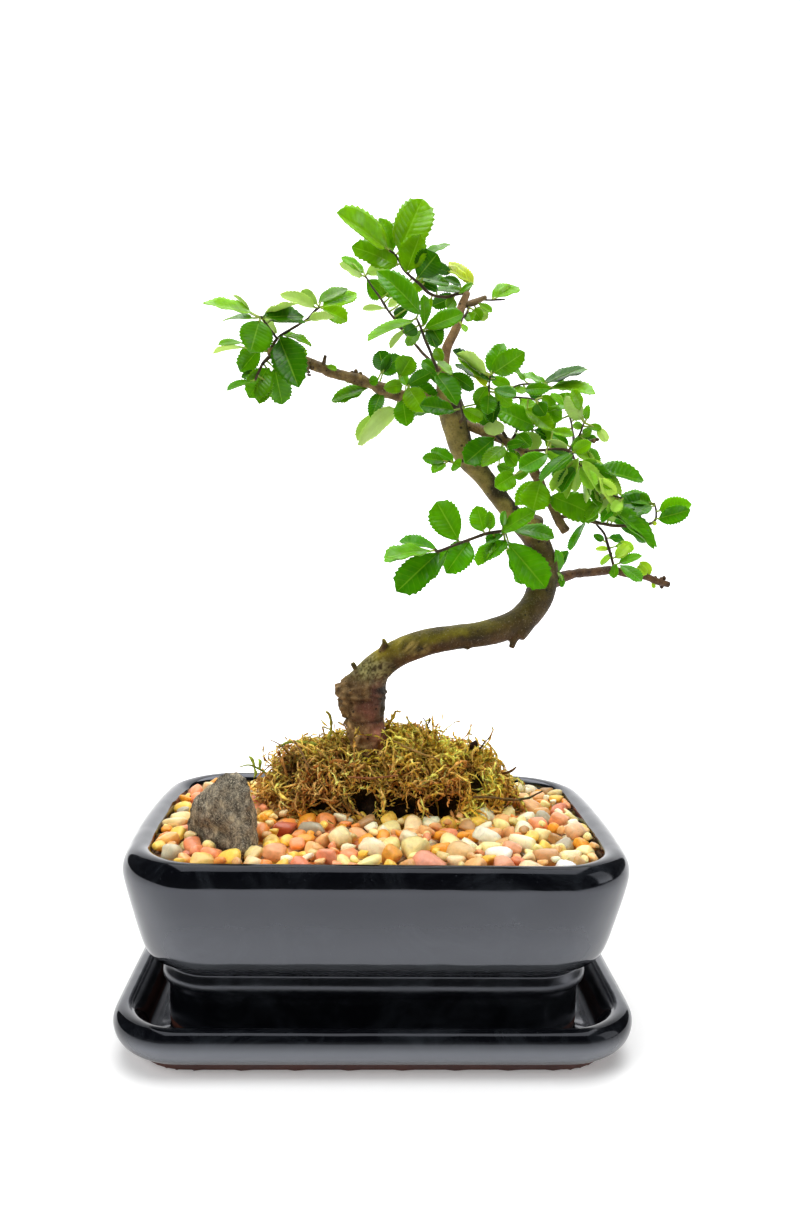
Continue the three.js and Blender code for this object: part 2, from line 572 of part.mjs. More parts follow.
const twigRightLow = shoot("twig_right_low", {
  parent: hangingClear,
  paths: [
    [
      [78.4, 209.6, -9, 1.2], [82, 210.5, -10, 1.1], [90.5, 209, -12, 1], [98, 207.5, -13, 0.9],
      [104.5, 206.5, -13, 0.9], [114.5, 207, -12, 0.8], [121.5, 208.5, -11, 0.7],
      [122.4, 213, -10, 0.6], [121.5, 217, -9, 0.5],
    ],
  ],
  leaves: [
    [122, 218, 106, 220, 5.5, "b", 6], [121, 216, 110.5, 210.5, 5, "b", -5],
    [121, 210, 138, 214.5, 8, "b", -5], [101.5, 213.5, 122.5, 197, 6, "b", -7, -3],
    [90.5, 208, 84.5, 195, 3, "b", -5],
  ],
});

const twigLowerLeft = shoot("twig_lower_left", {
  parent: trunkClear,
  paths: [
    [
      [63, 206, 3, 1.3], [54.5, 203.5, -5, 1], [46, 201.5, -9, 0.9], [39, 199, -12, 0.8],
      [26.5, 194, -17, 0.7], [23.5, 194, -19, 0.6],
    ],
  ],
  leaves: [
    [34, 199, 24, 215.5, 13.5, "b", 5], [23.5, 194.5, 1, 190, 6.5, "b", -6],
    [26.5, 193.5, 7, 175, 13, "b", -6], [40, 197.5, 29, 184, 11.5, "b", -5],
    [45.5, 202, 42, 214, 9, "b", 4], [48, 202, 47.5, 212, 4.5, "b", -3],
    [53.5, 203.5, 54.5, 212, 3.5, "b", -4], [53.5, 203, 68.5, 212.5, 7.5, "b", -7, -3],
    [58, 203.5, 77, 201, 5, "b", -8, -4], [54, 201.5, 46.5, 198, 3.5, "b", -4],
    [55, 199, 46, 189.5, 7, "b", -5], [56.5, 197.5, 74, 178, 14, "b", -6, -4],
  ],
});

const twigMiddle = shoot("twig_middle", {
  parent: trunkClear,
  paths: [
    [[38, 235.4, 0, 1], [33, 233, -4, 0.8], [28.5, 233.3, -7, 0.6]],
  ],
  leaves: [
    [27.5, 233.5, 17, 234.5, 5, "b", -3], [28.5, 233, 21.5, 228, 4, "b", -5],
    [29.5, 232.5, 34, 231, 6, "b", -4],
  ],
});

// soil, rock, gravel and moss
const soilLevels = [
  [27.4, POT.floor + GAP], [20.4, 25.2], [13.8, 42.1], [POT.wallInset + GAP + 0.1, 64.1],
  [POT.wallInset + GAP + 0.1, SOIL_TOP],
];
const soilRings = soilLevels.map(([inset, z]) => potRing(inset, z));
const moundLevels = [
  [50, 23, 60], [50, 23, SOIL_TOP], [48, 21.6, 80], [38, 16.4, 89.4], [18, 8, 93.4],
];
const moundRings = (grow) => moundLevels.map(([rx, ry, z]) =>
  ellipse(MOUND.x, MOUND.y, rx + grow, ry + grow, z + grow));
let soil = solid(loft(soilRings)).add(solid(loft(moundRings(0)))).subtract(trunkClear);
for (const sx of [-1, 1]) {
  const pocket = new THREE.BoxGeometry(SCREEN.size + 2 * GAP, SCREEN.size + 2 * GAP, 4);
  soil = soil.subtract(solid(pocket.translate(sx * HOLE.x, 0, screenZ + SCREEN.thick / 2 + GAP - 2)));
}
piece("soil", soil, 0x3b2b20, 0.95);

// slate, as outlines of seven corners stacked from the soil up
const rockOutlines = [
  [SOIL_TOP + GAP, [
    [-54, -43], [-47.5, -37], [-48, -27], [-55, -17],
    [-68, -12], [-75.5, -18], [-67, -29],
  ]],
  [79, [
    [-52, -45], [-47, -38], [-47.8, -27], [-55.5, -15.5],
    [-70, -10.5], [-77.4, -18], [-68.4, -28.6],
  ]],
  [88, [
    [-53.4, -43], [-48.4, -38], [-49.2, -26], [-57, -16.6],
    [-68, -13.6], [-75.4, -22], [-68.4, -32.4],
  ]],
  [97, [
    [-54.4, -41], [-49.6, -38], [-50.4, -28], [-57.2, -20.6],
    [-66, -20], [-71.4, -27], [-66.2, -34.4],
  ]],
  [103, [
    [-54.8, -39.2], [-50, -37.4], [-50.8, -30.4], [-56, -26],
    [-62.4, -26.4], [-66.6, -31], [-62.2, -36.4],
  ]],
  [106.2, [
    [-55.4, -37.6], [-51.6, -36], [-52.6, -31.8], [-56.6, -29],
    [-61, -30], [-63.4, -33.2], [-60, -36],
  ]],
];
// the corners shift up and down by turns, so that the faces break up, and the layers slant
const rockRings = (grow) => rockOutlines.map(([z, corners], k) => corners.map(([x, y], i) => {
  const out = V(x - ROCK.x, y - ROCK.y, 0).setLength(grow);
  const lift = k === 0 ? -grow : (i % 2 ? 1.2 : -1) + grow - ROCK.slant * (x - ROCK.x);
  return V(x + out.x, y + out.y, z + lift);
}));
const rockSolid = (grow) => solid(loft(rockRings(grow)));
piece("rock", rockSolid(0), 0x585a59, 0.85);

// one bed of gravel: a slab with its pebbles standing half out of it, row after row
const bedInset = POT.wallInset + GAP + 0.1;
const bed = potOutline(bedInset);
let gravel = solid(loft([potRing(bedInset, SOIL_TOP + GAP), potRing(bedInset, GRAVEL.slabTop)]));
// how far a place lies inside the bed's edge
function insideBed(x, y) {
  const bowed = bed.bow * (1 - (2 * y / bed.depth) ** 2);
  const qx = Math.abs(x) - bowed - (bed.width / 2 - bed.corner);
  const qy = Math.abs(y) - (bed.depth / 2 - bed.corner);
  return bed.corner - Math.hypot(Math.max(qx, 0), Math.max(qy, 0)) - Math.min(Math.max(qx, qy), 0);
}
const rnd = stream(20731);
const rows = 11;
const margin = 5.6;
const rowStep = (bed.depth - 2 * margin) / (rows - 1);
const columns = Math.floor((bed.width - 2 * margin) / GRAVEL.pebble);
const columnStep = (bed.width - 2 * margin) / columns;
const pebbles = [];
for (let row = 0; row < rows; row++) {
  for (let col = 0; col <= columns; col++) {
    const stagger = row % 2 ? 0.5 : 0;
    const x = -bed.width / 2 + margin + (col + stagger) * columnStep + (rnd() - 0.5) * 1.4;
    const y = -bed.depth / 2 + margin + row * rowStep + (rnd() - 0.5) * 1.2;
    const a = 5 + rnd() * 0.5;
    const b = 4.5 + rnd() * 0.5;
    const top = 77.4 + rnd() * 2.2;
    const turn = (rnd() - 0.5) * 1.8;
    const tip = (rnd() - 0.5) * 2.4;
    const besideMoss = [(x - MOUND.x) / (MOUND.rx + 4.6), (y - MOUND.y) / (MOUND.ry + 4.6)];
    const nearMoss = Math.hypot(...besideMoss) < 1;
    const nearRock = x < -48 && x > -76 && y > -43 && y < -12 && Math.abs(x + 61 + (y + 29)) < 17;
    if (nearMoss || nearRock || insideBed(x, y) < 4.9) continue;
    const ring = (share, z) => ellipse(0, 0, a * share, b * share, z, 6);
    const shell = [...ring(1, GRAVEL.slabTop - 1), ...ring(0.9, top - 2.6), V(tip * 0.6, tip, top)];
    const faces = [];
    for (let i = 0; i < 6; i++) {
      const j = (i + 1) % 6;
      faces.push([i, j, 6 + j], [i, 6 + j, 6 + i], [6 + i, 6 + j, 12]);
      if (i > 0 && i < 5) faces.push([0, i + 1, i]);
    }
    pebbles.push(solid(fromTriangles(shell, faces).rotateZ(turn).translate(x, y, 0)));
  }
}
for (const p of pebbles) gravel = gravel.add(p);
const bedTrim = solid(loft([potRing(bedInset, 60), potRing(bedInset, 92)]));
const mossFoot = solid(loft([60, 95].map((z) => ellipse(MOUND.x, MOUND.y, MOUND.rx, MOUND.ry, z))));
gravel = gravel.intersect(bedTrim).subtract(mossFoot).subtract(rockSolid(GAP + 0.1));
piece("gravel", gravel, 0xd9b184, 0.4);

// a cushion of moss: a lumpy core over the mound, and strands that leave it and curl over
const coreLevels = [
  [56.8, 28.2, SOIL_TOP + GAP], [57, 28.4, 82], [53, 26, 93], [44, 21, 102], [30, 13.6, 108.5],
  [12, 5.4, 111.6],
];
const coreRings = coreLevels.map(([rx, ry, z], k) => {
  const ring = ellipse(MOUND.x, MOUND.y, rx, ry, z);
  if (k < 2) return ring;
  return ring.map((p, i) => {
    const swell = 1.6 * Math.sin(i * 2.4 + k * 1.9) + 1.1 * Math.sin(i * 5.1 - k * 2.7);
    const out = V(p.x - MOUND.x, p.y - MOUND.y, 0).normalize();
    return p.addScaledVector(out, swell * 0.8).add(V(0, 0, swell * 0.9));
  });
});
let moss = solid(loft(coreRings));
const twist = stream(4409);
for (let i = 0; i < STRANDS; i++) {
  const a = i * GOLDEN_ANGLE + 0.4;
  const h = (i + 0.5) / STRANDS;
  const z = 81.5 + 27.5 * Math.pow(h, 0.85);
  const wide = 0.95 * Math.sqrt(1 - Math.pow((z - 74) / 39, 2.2));
  const x = MOUND.x + MOUND.rx * wide * Math.cos(a);
  const y = MOUND.y + MOUND.ry * wide * Math.sin(a);
  const out = V(Math.cos(a) / MOUND.rx, Math.sin(a) / MOUND.ry, 0).normalize();
  const round = V(-out.y, out.x, 0).multiplyScalar(twist() < 0.5 ? -1 : 1);
  const steep = h * h;
  const rise = V(0, 0, 0.45 + 0.55 * steep);
  const lead = out.clone().multiplyScalar(1 - 0.7 * steep).add(rise).normalize();
  const start = V(x, y, z).addScaledVector(lead, -3);
  const reach = 5.5 + 3.5 * twist();
  const p1 = start.clone().addScaledVector(lead, reach).addScaledVector(round, 1.2);
  const p2 = p1.clone().addScaledVector(lead, 1.6).addScaledVector(round, 4.6);
  const p3 = p2.clone().addScaledVector(out, 1.4).addScaledVector(round, 3.4);
  p3.z -= 1.5 + 1.5 * h;
  moss = moss.add(solid(tube([start, p1, p2, p3], [2.2, 1.5, 1.1, 0.6], 3)));
}
moss = moss.subtract(solid(loft(moundRings(GAP)))).subtract(trunkClear);
piece("moss", moss, 0x7c7a2c, 0.95);

export default group;
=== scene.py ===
# %% [markdown]
# # Dressing a Chinese elm bonsai over its CAD frame
#
# The tree is about 34 cm tall and stands in a black glazed pot on a saucer. The frame that is
# loaded first holds the plain solids. Each cell below makes one piece or one finish, in metres,
# where the solid of the same name stands, and says what the real thing is and why it is made so.

# %% Load the frame
import functools
import math
import bpy
import bmesh
import numpy as np
from mathutils import Matrix, Vector


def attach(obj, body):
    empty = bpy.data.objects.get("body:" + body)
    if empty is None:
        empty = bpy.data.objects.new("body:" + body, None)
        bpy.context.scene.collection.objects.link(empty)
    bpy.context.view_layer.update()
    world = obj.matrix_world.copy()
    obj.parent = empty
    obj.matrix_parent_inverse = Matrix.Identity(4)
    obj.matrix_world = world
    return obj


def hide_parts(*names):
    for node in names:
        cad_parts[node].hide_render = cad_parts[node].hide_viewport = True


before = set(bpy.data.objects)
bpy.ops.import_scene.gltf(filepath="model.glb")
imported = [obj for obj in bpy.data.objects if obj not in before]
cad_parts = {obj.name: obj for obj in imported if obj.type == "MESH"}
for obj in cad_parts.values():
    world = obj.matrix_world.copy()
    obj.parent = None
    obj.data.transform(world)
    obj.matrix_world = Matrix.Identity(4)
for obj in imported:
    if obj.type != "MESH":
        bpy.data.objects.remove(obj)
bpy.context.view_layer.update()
bpy.ops.object.select_all(action="DESELECT")
MM = 0.001  # sizes are written in millimetres, and Blender works in metres
print("nodes in the frame:", len(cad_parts))

# %% [markdown]
# A few helpers come first. Colours are picked as sRGB hex values and shaders want linear light,
# so one function turns them. One function adds a shader node with its settings and its inputs:
# a small first letter marks a setting, and a capital or i with a number marks an input, which is
# a number, a colour or the output of another node.

# %% Colours and shader nodes
def linear(text):
    parts = [int(text[i:i + 2], 16) / 255 for i in (1, 3, 5)]
    return tuple(c / 12.92 if c <= 0.04045 else ((c + 0.055) / 1.055) ** 2.4 for c in parts) + (1.0,)


def mixed(low, high, share):
    """Rows of linear red, green and blue between two hex colours."""
    a, b = np.array(linear(low)[:3]), np.array(linear(high)[:3])
    return a + (b - a) * np.asarray(share)[:, None]


def feed(material, socket, value):
    if isinstance(value, bpy.types.NodeSocket):
        material.node_tree.links.new(value, socket)
    else:
        socket.default_value = linear(value) if isinstance(value, str) else value


def add_node(material, kind, **values):
    node = material.node_tree.nodes.new("ShaderNode" + kind)
    for name, value in values.items():
        numbered = name[0] == "i" and name[1:].isdigit()
        if name == "stops":  # a colour ramp's stops: [place, hex], from low to high
            ramp = node.color_ramp
            while len(ramp.elements) < len(value):
                ramp.elements.new(1.0)
            for element, (place, colour) in zip(ramp.elements, value):
                element.position, element.color = place, linear(colour)
        elif numbered or name[0].isupper():
            feed(material, node.inputs[int(name[1:]) if numbered else name.replace("_", " ")], value)
        else:
            setattr(node, name, value)
    return node.outputs


def new_finish(name, **settings):
    """A material, a helper that adds nodes to it and one that feeds its shader's own sockets."""
    material = bpy.data.materials.new(name)
    material.use_nodes = True
    shader = material.node_tree.nodes["Principled BSDF"]

    def wire(**sockets):
        for key, value in sockets.items():
            feed(material, shader.inputs[key.replace("_", " ")], value)

    wire(**settings)
    return material, functools.partial(add_node, material), wire

# %% [markdown]
# Natural things need unevenness that is the same in every run. `uneven` gives a smooth random
# number in -1..1 at each point of a cloud, for lumps of a size in millimetres, and
# `stream` gives a seeded row of random numbers. `rise` climbs from 0 to 1 as a value passes
# from a start over a span, and a negative span makes it fall.

# %% Repeatable unevenness
def lattice(cell, seed):
    n = (cell[..., 0] * 73856093) ^ (cell[..., 1] * 19349663) ^ (cell[..., 2] * 83492791) ^ (seed * 974711)
    n &= 0xFFFFFFFF
    n = ((n ^ (n >> 13)) * 1274126177) & 0xFFFFFFFF
    n = ((n ^ (n >> 15)) * 668265263) & 0xFFFFFFFF
    return ((n ^ (n >> 16)) & 0xFFFF) / 32767.5 - 1


def uneven(points, size, seed=1):
    place = np.asarray(points, float) / size
    cell = np.floor(place).astype(np.int64)
    f = place - cell
    f = f * f * (3 - 2 * f)
    total = np.zeros(len(place))
    for dx in (0, 1):
        for dy in (0, 1):
            for dz in (0, 1):
                weight = np.abs(1 - dx - f[:, 0]) * np.abs(1 - dy - f[:, 1]) * np.abs(1 - dz - f[:, 2])
                total += weight * lattice(cell + np.array((dx, dy, dz)), seed)
    return total


def uneven_ways(points, size, seeds):
    """Three rows of unevenness, one for each axis."""
    return np.stack([uneven(points, size, seed) for seed in seeds], 1)


def stream(seed):
    return np.random.RandomState(seed)


def rise(value, start, span):
    return np.clip((value - start) / span, 0, 1)


def unit(rows):
    return rows / np.maximum(np.linalg.norm(rows, axis=-1), 1e-9)[..., None]

# %% [markdown]
# Meshes are built from corners and faces in millimetres. Every finished piece has its object at
# the origin and its place in its mesh, rides on the frame's one body and stands for a solid.

# %% Make and place a piece
def dress(piece, material, nodes, smooth=True):
    """Give a piece its material and its body, and hide the solids that it stands for."""
    piece.data.materials.clear()
    piece.data.materials.append(material)
    if smooth:
        piece.data.shade_smooth()
    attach(piece, "root")
    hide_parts(*nodes)
    piece.select_set(False)
    print(piece.name, "faces:", len(piece.data.polygons))


def mesh_piece(name, corners, faces):
    mesh = bpy.data.meshes.new(name)
    mesh.from_pydata((np.asarray(corners) * MM).tolist(), [], faces)
    piece = bpy.data.objects.new(name, mesh)
    bpy.context.scene.collection.objects.link(piece)
    return piece


def vectors_of(piece, kind):
    flat = np.zeros(len(piece.data.vertices) * 3)
    piece.data.vertices.foreach_get(kind, flat)
    return flat.reshape(-1, 3)


def corners_of(piece):
    return vectors_of(piece, "co") / MM


def set_corners(piece, corners):
    piece.data.vertices.foreach_set("co", (np.asarray(corners) * MM).ravel())
    piece.data.update()


def paint(piece, name, colours):
    """A colour for each corner point, from rows of linear red, green and blue."""
    layer = piece.data.color_attributes.new(name, "FLOAT_COLOR", "POINT")
    rows = np.ones((len(piece.data.vertices), 4))
    rows[:, :3] = np.clip(colours, 0, 1)
    layer.data.foreach_set("color", rows.ravel())


def number(piece, name, values):
    layer = piece.data.attributes.new(name, "FLOAT", "POINT")
    layer.data.foreach_set("value", np.asarray(values, float))


def joined(name, parts):
    """One piece from many parts, each its corners, its faces and, if it is painted, its tones."""
    first, faces = 0, []
    for corners, part_faces, *_ in parts:
        faces += [[first + v for v in face] for face in part_faces]
        first += len(corners)
    piece = mesh_piece(name, np.vstack([part[0] for part in parts]), faces)
    if len(parts[0]) > 2:
        paint(piece, "tone", np.vstack([part[2] for part in parts]))
    return piece


def finish_modifier(piece, kind, **settings):
    bpy.ops.object.select_all(action="DESELECT")
    bpy.context.view_layer.objects.active = piece
    piece.select_set(True)
    bpy.ops.object.modifier_add(type=kind)
    modifier = piece.modifiers[-1]
    for key, value in settings.items():
        setattr(modifier, key, value)
    bpy.ops.object.modifier_apply(modifier=modifier.name)

# %% [markdown]
# The camera stands about 43 cm in front of the trunk at the height of the lower branches and
# looks slightly down, which is how such a small tree is usually shown. Its three axes are worked
# out from its turn to the right, its pitch and its roll.

# %% Camera
EYE = np.array((-8.4, -407.7, 209.6))
turn, pitch, roll = math.radians(2.3), math.radians(5.3), math.radians(1.3)
ahead = Vector((math.sin(turn) * math.cos(pitch), math.cos(turn) * math.cos(pitch), -math.sin(pitch)))
level = Vector((math.cos(turn), -math.sin(turn), 0))
right = level * math.cos(roll) + level.cross(ahead) * math.sin(roll)
up = level.cross(ahead) * math.cos(roll) - level * math.sin(roll)
axes = Matrix((right, up, -ahead)).transposed().to_4x4()
bpy.ops.object.camera_add(location=Vector(EYE) * MM)
camera = bpy.context.object
camera.matrix_world = Matrix.Translation(Vector(EYE) * MM) @ axes
camera.data.sensor_width = 36
camera.data.lens = 28.72
camera.data.clip_start = 0.01
bpy.context.scene.camera = camera
bpy.context.scene.view_settings.view_transform = "Standard"
print("camera:", camera.data.lens, "mm lens at", [round(c) for c in EYE], "mm")

# %% [markdown]
# ## Stage and light
# The studio has a white paper that runs level under the pot and curves up behind it, one large
# soft light above and a weaker one from the left front. Paper lies only a short way in front of
# the pot, and the room beyond it is dark, so the glaze mirrors white low down and black above.

# %% Paper sweep
def paper_finish():
    material, add, wire = new_finish("matt_white_paper", Roughness=0.9, Specular_IOR_Level=0.1)
    back = add("SeparateXYZ", Vector=add("TexCoord")["Object"])["Y"]
    # painted light: the paper glows by its own emission, strongly where it rises behind the pot and hardly
    # at all under it
    glow = add("MapRange", interpolation_type="SMOOTHSTEP", Value=back, From_Min=0.12, From_Max=0.7,
               To_Min=0.2, To_Max=0.95)[0]
    wire(Base_Color="#f4f4f4", Emission_Color=(1, 1, 1, 1), Emission_Strength=glow)
    return material


bpy.ops.mesh.primitive_plane_add(size=1)
paper = bpy.context.object
paper.name = "paper_sweep"
bpy.ops.object.mode_set(mode="EDIT")
bpy.ops.transform.resize(value=(3.2, 1.5, 1))
bpy.ops.transform.translate(value=(0, 0.25, 0))
bpy.ops.mesh.select_all(action="DESELECT")
edit = bmesh.from_edit_mesh(paper.data)
for edge in edit.edges:
    edge.select = all(v.co.y > 0.9 for v in edge.verts)
bmesh.update_edit_mesh(paper.data)
for back, lift in ((0.2, 0.02), (0.17, 0.07), (0.12, 0.13), (0.06, 0.17), (0.02, 0.3), (0, 1.6)):
    bpy.ops.mesh.extrude_edges_move(TRANSFORM_OT_translate={"value": (0, back, lift)})
bpy.ops.object.mode_set(mode="OBJECT")
finish_modifier(paper, "SUBSURF", levels=2, render_levels=2)
paper.data.shade_smooth()
paper.data.materials.append(paper_finish())
print("paper faces:", len(paper.data.polygons))

# %% Lights
def soft_light(name, place, aim, size, power, mirrored=True):
    bpy.ops.object.light_add(type="AREA", location=place)
    light = bpy.context.object
    light.name = name
    light.data.shape = "RECTANGLE"
    light.data.size, light.data.size_y = size
    light.data.energy = power
    light.visible_glossy = mirrored
    light.rotation_euler = (Vector(aim) - Vector(place)).to_track_quat("-Z", "Y").to_euler()
    print(name, power, "W")


soft_light("overhead_softbox", place=(0.05, 0.1, 1.25), aim=(0, 0.1, 0), size=(1.5, 1.3), power=21)
soft_light("left_front_softbox", place=(-0.95, -0.75, 0.85), aim=(0, 0, 0.15), size=(0.7, 0.7), power=10,
           mirrored=False)
soft_light("right_fill", place=(1.1, -0.35, 0.5), aim=(0, 0, 0.2), size=(0.5, 0.9), power=3)
world = bpy.data.worlds.new("dim_room")
bpy.context.scene.world = world
world.use_nodes = True
world.node_tree.nodes["Background"].inputs["Color"].default_value = linear("#ffffff")
world.node_tree.nodes["Background"].inputs["Strength"].default_value = 0.04

# %% [markdown]
# ## Pot and saucer
# Both are press-moulded stoneware under a black glaze. The real ones are one wall that follows a
# rectangle with round corners, so each starts as a plane with bevelled corners. The face is then
# extruded step by step up the outside, over the rim and down the inside. Each step's inset from
# the outline and its height come from the profile, and the outline's corner keeps its number, so
# that it can be put on its place after the extrusion.

# %% Outlines and profiles
POT = {"width": 192, "depth": 136, "corner": 27, "bow": 5.5}
SAUCER = {"width": 203, "depth": 144, "corner": 27, "bow": 0.0}
CORNER_SHARE, BOW_SHARE = 0.62, 0.2  # how much of an inset a corner's radius and the bow lose
POT_PROFILE = [  # [inset, height, crease]
    (24.5, 9.5, 1), (23.5, 6.3, 0.8), (15.6, 6.3, 0.8), (15.4, 15, 0), (15.6, 23.6, 0.2),
    (14.4, 25.6, 0.3), (13.2, 27, 0.2), (13.2, 29.8, 0.2), (14.2, 31.4, 0.2), (14.8, 33, 0.3),
    (12.6, 35.2, 0), (9, 37.4, 0.35), (6.9, 40.8, 0.2), (5.4, 46, 0), (3.6, 54, 0), (1.6, 62.5, 0),
    (0.1, 70, 0), (0.1, 73.2, 0), (0.8, 76.4, 0), (2.2, 78.9, 0), (4.4, 80.3, 0), (6.8, 80.3, 0),
    (8.8, 79, 0), (9.7, 76, 0), (9.2, 64, 0), (13.4, 42, 0), (20, 25, 0), (27, 18, 0.4),
]
SAUCER_PROFILE = [
    (9.9, 0, 0.9), (9.1, 2.8, 0.5), (7.3, 4.3, 0.3), (5, 5.3, 0.2), (2.4, 7.5, 0), (0.7, 10.2, 0),
    (-0.1, 14, 0), (0.3, 17.2, 0), (2.2, 19.5, 0), (4.8, 19.9, 0), (7.4, 18.8, 0), (9.6, 15.6, 0),
    (11.2, 11, 0), (12.8, 7.6, 0.3), (17, 6, 0.3),
]
STEPS, LONG, SHORT = 8, 7, 5  # pieces in a corner, a long side and a short side


def outline(form, inset):
    width, depth = form["width"] - 2 * inset, form["depth"] - 2 * inset
    radius = form["corner"] - CORNER_SHARE * inset
    bow = max(form["bow"] - BOW_SHARE * inset, 0) if form["bow"] else 0
    points = []
    for sx, sy, start in ((1, 1, 0), (-1, 1, 90), (-1, -1, 180), (1, -1, 270)):
        for i in range(STEPS + 1):
            a = math.radians(start + 90 * i / STEPS)
            points.append((sx * (width / 2 - radius) + radius * math.cos(a),
                           sy * (depth / 2 - radius) + radius * math.sin(a)))
        count = LONG if sx == sy else SHORT
        for i in range(1, count):
            share = 1 - 2 * i / count
            points.append((sx * share * (width / 2 - radius), sy * depth / 2) if sx == sy
                          else (sx * width / 2, sy * share * (depth / 2 - radius)))
    return [(x * (1 + bow * (1 - (2 * y / depth) ** 2) / (width / 2)), y) for x, y in points]


def stacked(name, sides, levels, sharp=None):
    """A solid from a polygon that is extruded from level to level, each a list of points in space."""
    bpy.ops.mesh.primitive_circle_add(vertices=sides, radius=0.1, fill_type="NGON")
    piece = bpy.context.object
    piece.name = name
    bpy.ops.object.mode_set(mode="EDIT")
    edit = bmesh.from_edit_mesh(piece.data)
    edit.verts.layers.int.new("order")
    if sharp:
        edit.edges.layers.float.new("crease_edge")
    order = edit.verts.layers.int["order"]
    for vert in edit.verts:
        vert[order] = vert.index
    for step, places in enumerate(levels):
        if step:
            bmesh.update_edit_mesh(piece.data)
            bpy.ops.mesh.extrude_region_move()
            edit = bmesh.from_edit_mesh(piece.data)
            order = edit.verts.layers.int["order"]
        for vert in edit.verts:
            if vert.select:
                vert.co = Vector(places[vert[order]]) * MM
        if sharp:
            crease = edit.edges.layers.float["crease_edge"]
            for edge in edit.edges:
                if edge.select:
                    edge[crease] = sharp[step]
    bmesh.update_edit_mesh(piece.data)
    bpy.ops.mesh.select_all(action="SELECT")
    bpy.ops.mesh.normals_make_consistent(inside=False)
    bpy.ops.object.mode_set(mode="OBJECT")
    return piece


def swept_shell(name, form, profile):
    levels = [[(x, y, height) for x, y in outline(form, inset)] for inset, height, _ in profile]
    piece = stacked(name, 4 * STEPS + 2 * LONG + 2 * SHORT, levels, [sharp for _, _, sharp in profile])
    # the two flat ends are inset, so that rounding the shell keeps them level
    bpy.ops.object.mode_set(mode="EDIT")
    edit = bmesh.from_edit_mesh(piece.data)
    for face in edit.faces:
        face.select = len(face.verts) > 4
    bmesh.update_edit_mesh(piece.data)
    bpy.ops.mesh.inset(thickness=2 * MM)
    bpy.ops.mesh.inset(thickness=12 * MM)
    bpy.ops.object.mode_set(mode="OBJECT")
    finish_modifier(piece, "SUBSURF", levels=2, render_levels=2)
    return piece

# %% [markdown]
# The glaze is a black tenmoku type: glossy, with a high index that mirrors the paper, and a
# little wavy, because it ran when it melted. Where a foot was wiped clean before firing the
# red-brown clay shows. A hand-pressed wall is never quite true, so the shells get lumps of a
# few centimetres that rise less than half a millimetre.

# %% Glazed stoneware
def glaze_finish(name, bare_below, fade, reflection_top, reflection_full, reflection_end, painted_reflection, rim):
    """Heights are in metres. The strength says how much grey painted reflection of the white paper lies on
    the front of the wall, and rim is the rim's height.
    """
    material, add, wire = new_finish(name, IOR=1.78, Specular_Tint="#eef2ff")
    at = add("TexCoord")["Object"]
    height = add("SeparateXYZ", Vector=at)["Z"]
    patchy = add("TexNoise", Vector=at, Scale=70.0, Detail=3.0)["Fac"]  # 14 mm patches
    edge = add("Math", operation="MULTIPLY_ADD", i0=patchy, i1=-fade, i2=height)[0]
    bare = add("MapRange", Value=edge, From_Min=bare_below, From_Max=bare_below - 0.0006)[0]
    speck = add("TexNoise", Vector=at, Scale=900.0, Detail=2.0)["Fac"]  # 1 mm dust and pits
    dust = add("MapRange", Value=speck, From_Min=0.7, From_Max=0.84)[0]
    bloom = add("TexNoise", Vector=at, Scale=38.0, Detail=5.0, Roughness=0.7, Distortion=1.2)["Fac"]  # 26 mm
    haze = add("MapRange", Value=bloom, From_Min=0.46, From_Max=0.72, To_Max=0.45)[0]
    dust = add("Math", operation="MAXIMUM", i0=dust, i1=haze)[0]
    glaze = add("Mix", data_type="RGBA", i0=dust, i6="#07080c", i7="#2f3338")["Result"]
    # painted reflection: grey on the front of the wall, where it faces the camera, as if it mirrored the
    # white paper, strongest low down and none on a rim
    facing = add("SeparateXYZ", Vector=add("NewGeometry")["Normal"])["Y"]
    front = add("SeparateXYZ", Vector=at)["Y"]
    limits = (
        add("MapRange", interpolation_type="SMOOTHSTEP", Value=facing, From_Min=-0.6, From_Max=-0.97)[0],
        add("MapRange", Value=height, From_Min=reflection_end - 0.002, From_Max=reflection_end)[0],
        add("MapRange", Value=front, From_Min=-0.05, From_Max=-0.055)[0],
    )
    painted_reflection = add("MapRange", interpolation_type="SMOOTHSTEP", Value=height, From_Min=reflection_top,
               From_Max=reflection_full, To_Max=painted_reflection)[0]
    for limit in limits:
        painted_reflection = add("Math", operation="MULTIPLY", i0=painted_reflection, i1=limit)[0]
    glaze = add("Mix", data_type="RGBA", i0=painted_reflection, i6=glaze, i7="#7d8086")["Result"]
    clay = add("Mix", data_type="RGBA", i0=patchy, i6="#321b14", i7="#663826")["Result"]
    colour = add("Mix", data_type="RGBA", i0=bare, i6=glaze, i7=clay)["Result"]
    # the bead and foot are fired duller than the wall, and bare clay is dull
    satin = add("MapRange", Value=haze, To_Min=0.08, To_Max=0.34)[0]
    below = add("MapRange", Value=height, From_Min=reflection_end - 0.002, From_Max=reflection_end - 0.005,
                To_Max=0.2)[0]
    satin = add("Math", i0=satin, i1=below)[0]
    rough = add("Math", operation="MULTIPLY_ADD", i0=bare, i1=0.65, i2=satin)[0]
    # the front of the rim is worn by hands and mirrors less
    front = add("MapRange", Value=front, From_Min=-0.05, From_Max=-0.062)[0]
    upper = add("MapRange", Value=height, From_Min=rim - 0.008, From_Max=rim - 0.003)[0]
    worn = add("Math", operation="MULTIPLY", i0=front, i1=upper)[0]
    mirror = add("MapRange", Value=worn, To_Min=0.5, To_Max=0.12)[0]
    flow = add("TexNoise", Vector=at, Scale=55.0, Detail=1.5)["Fac"]  # 18 mm runs
    bump = add("Bump", Strength=0.5, Distance=0.0009, Height=flow)["Normal"]
    wire(Base_Color=colour, Roughness=rough, Specular_IOR_Level=mirror, Normal=bump)
    return material


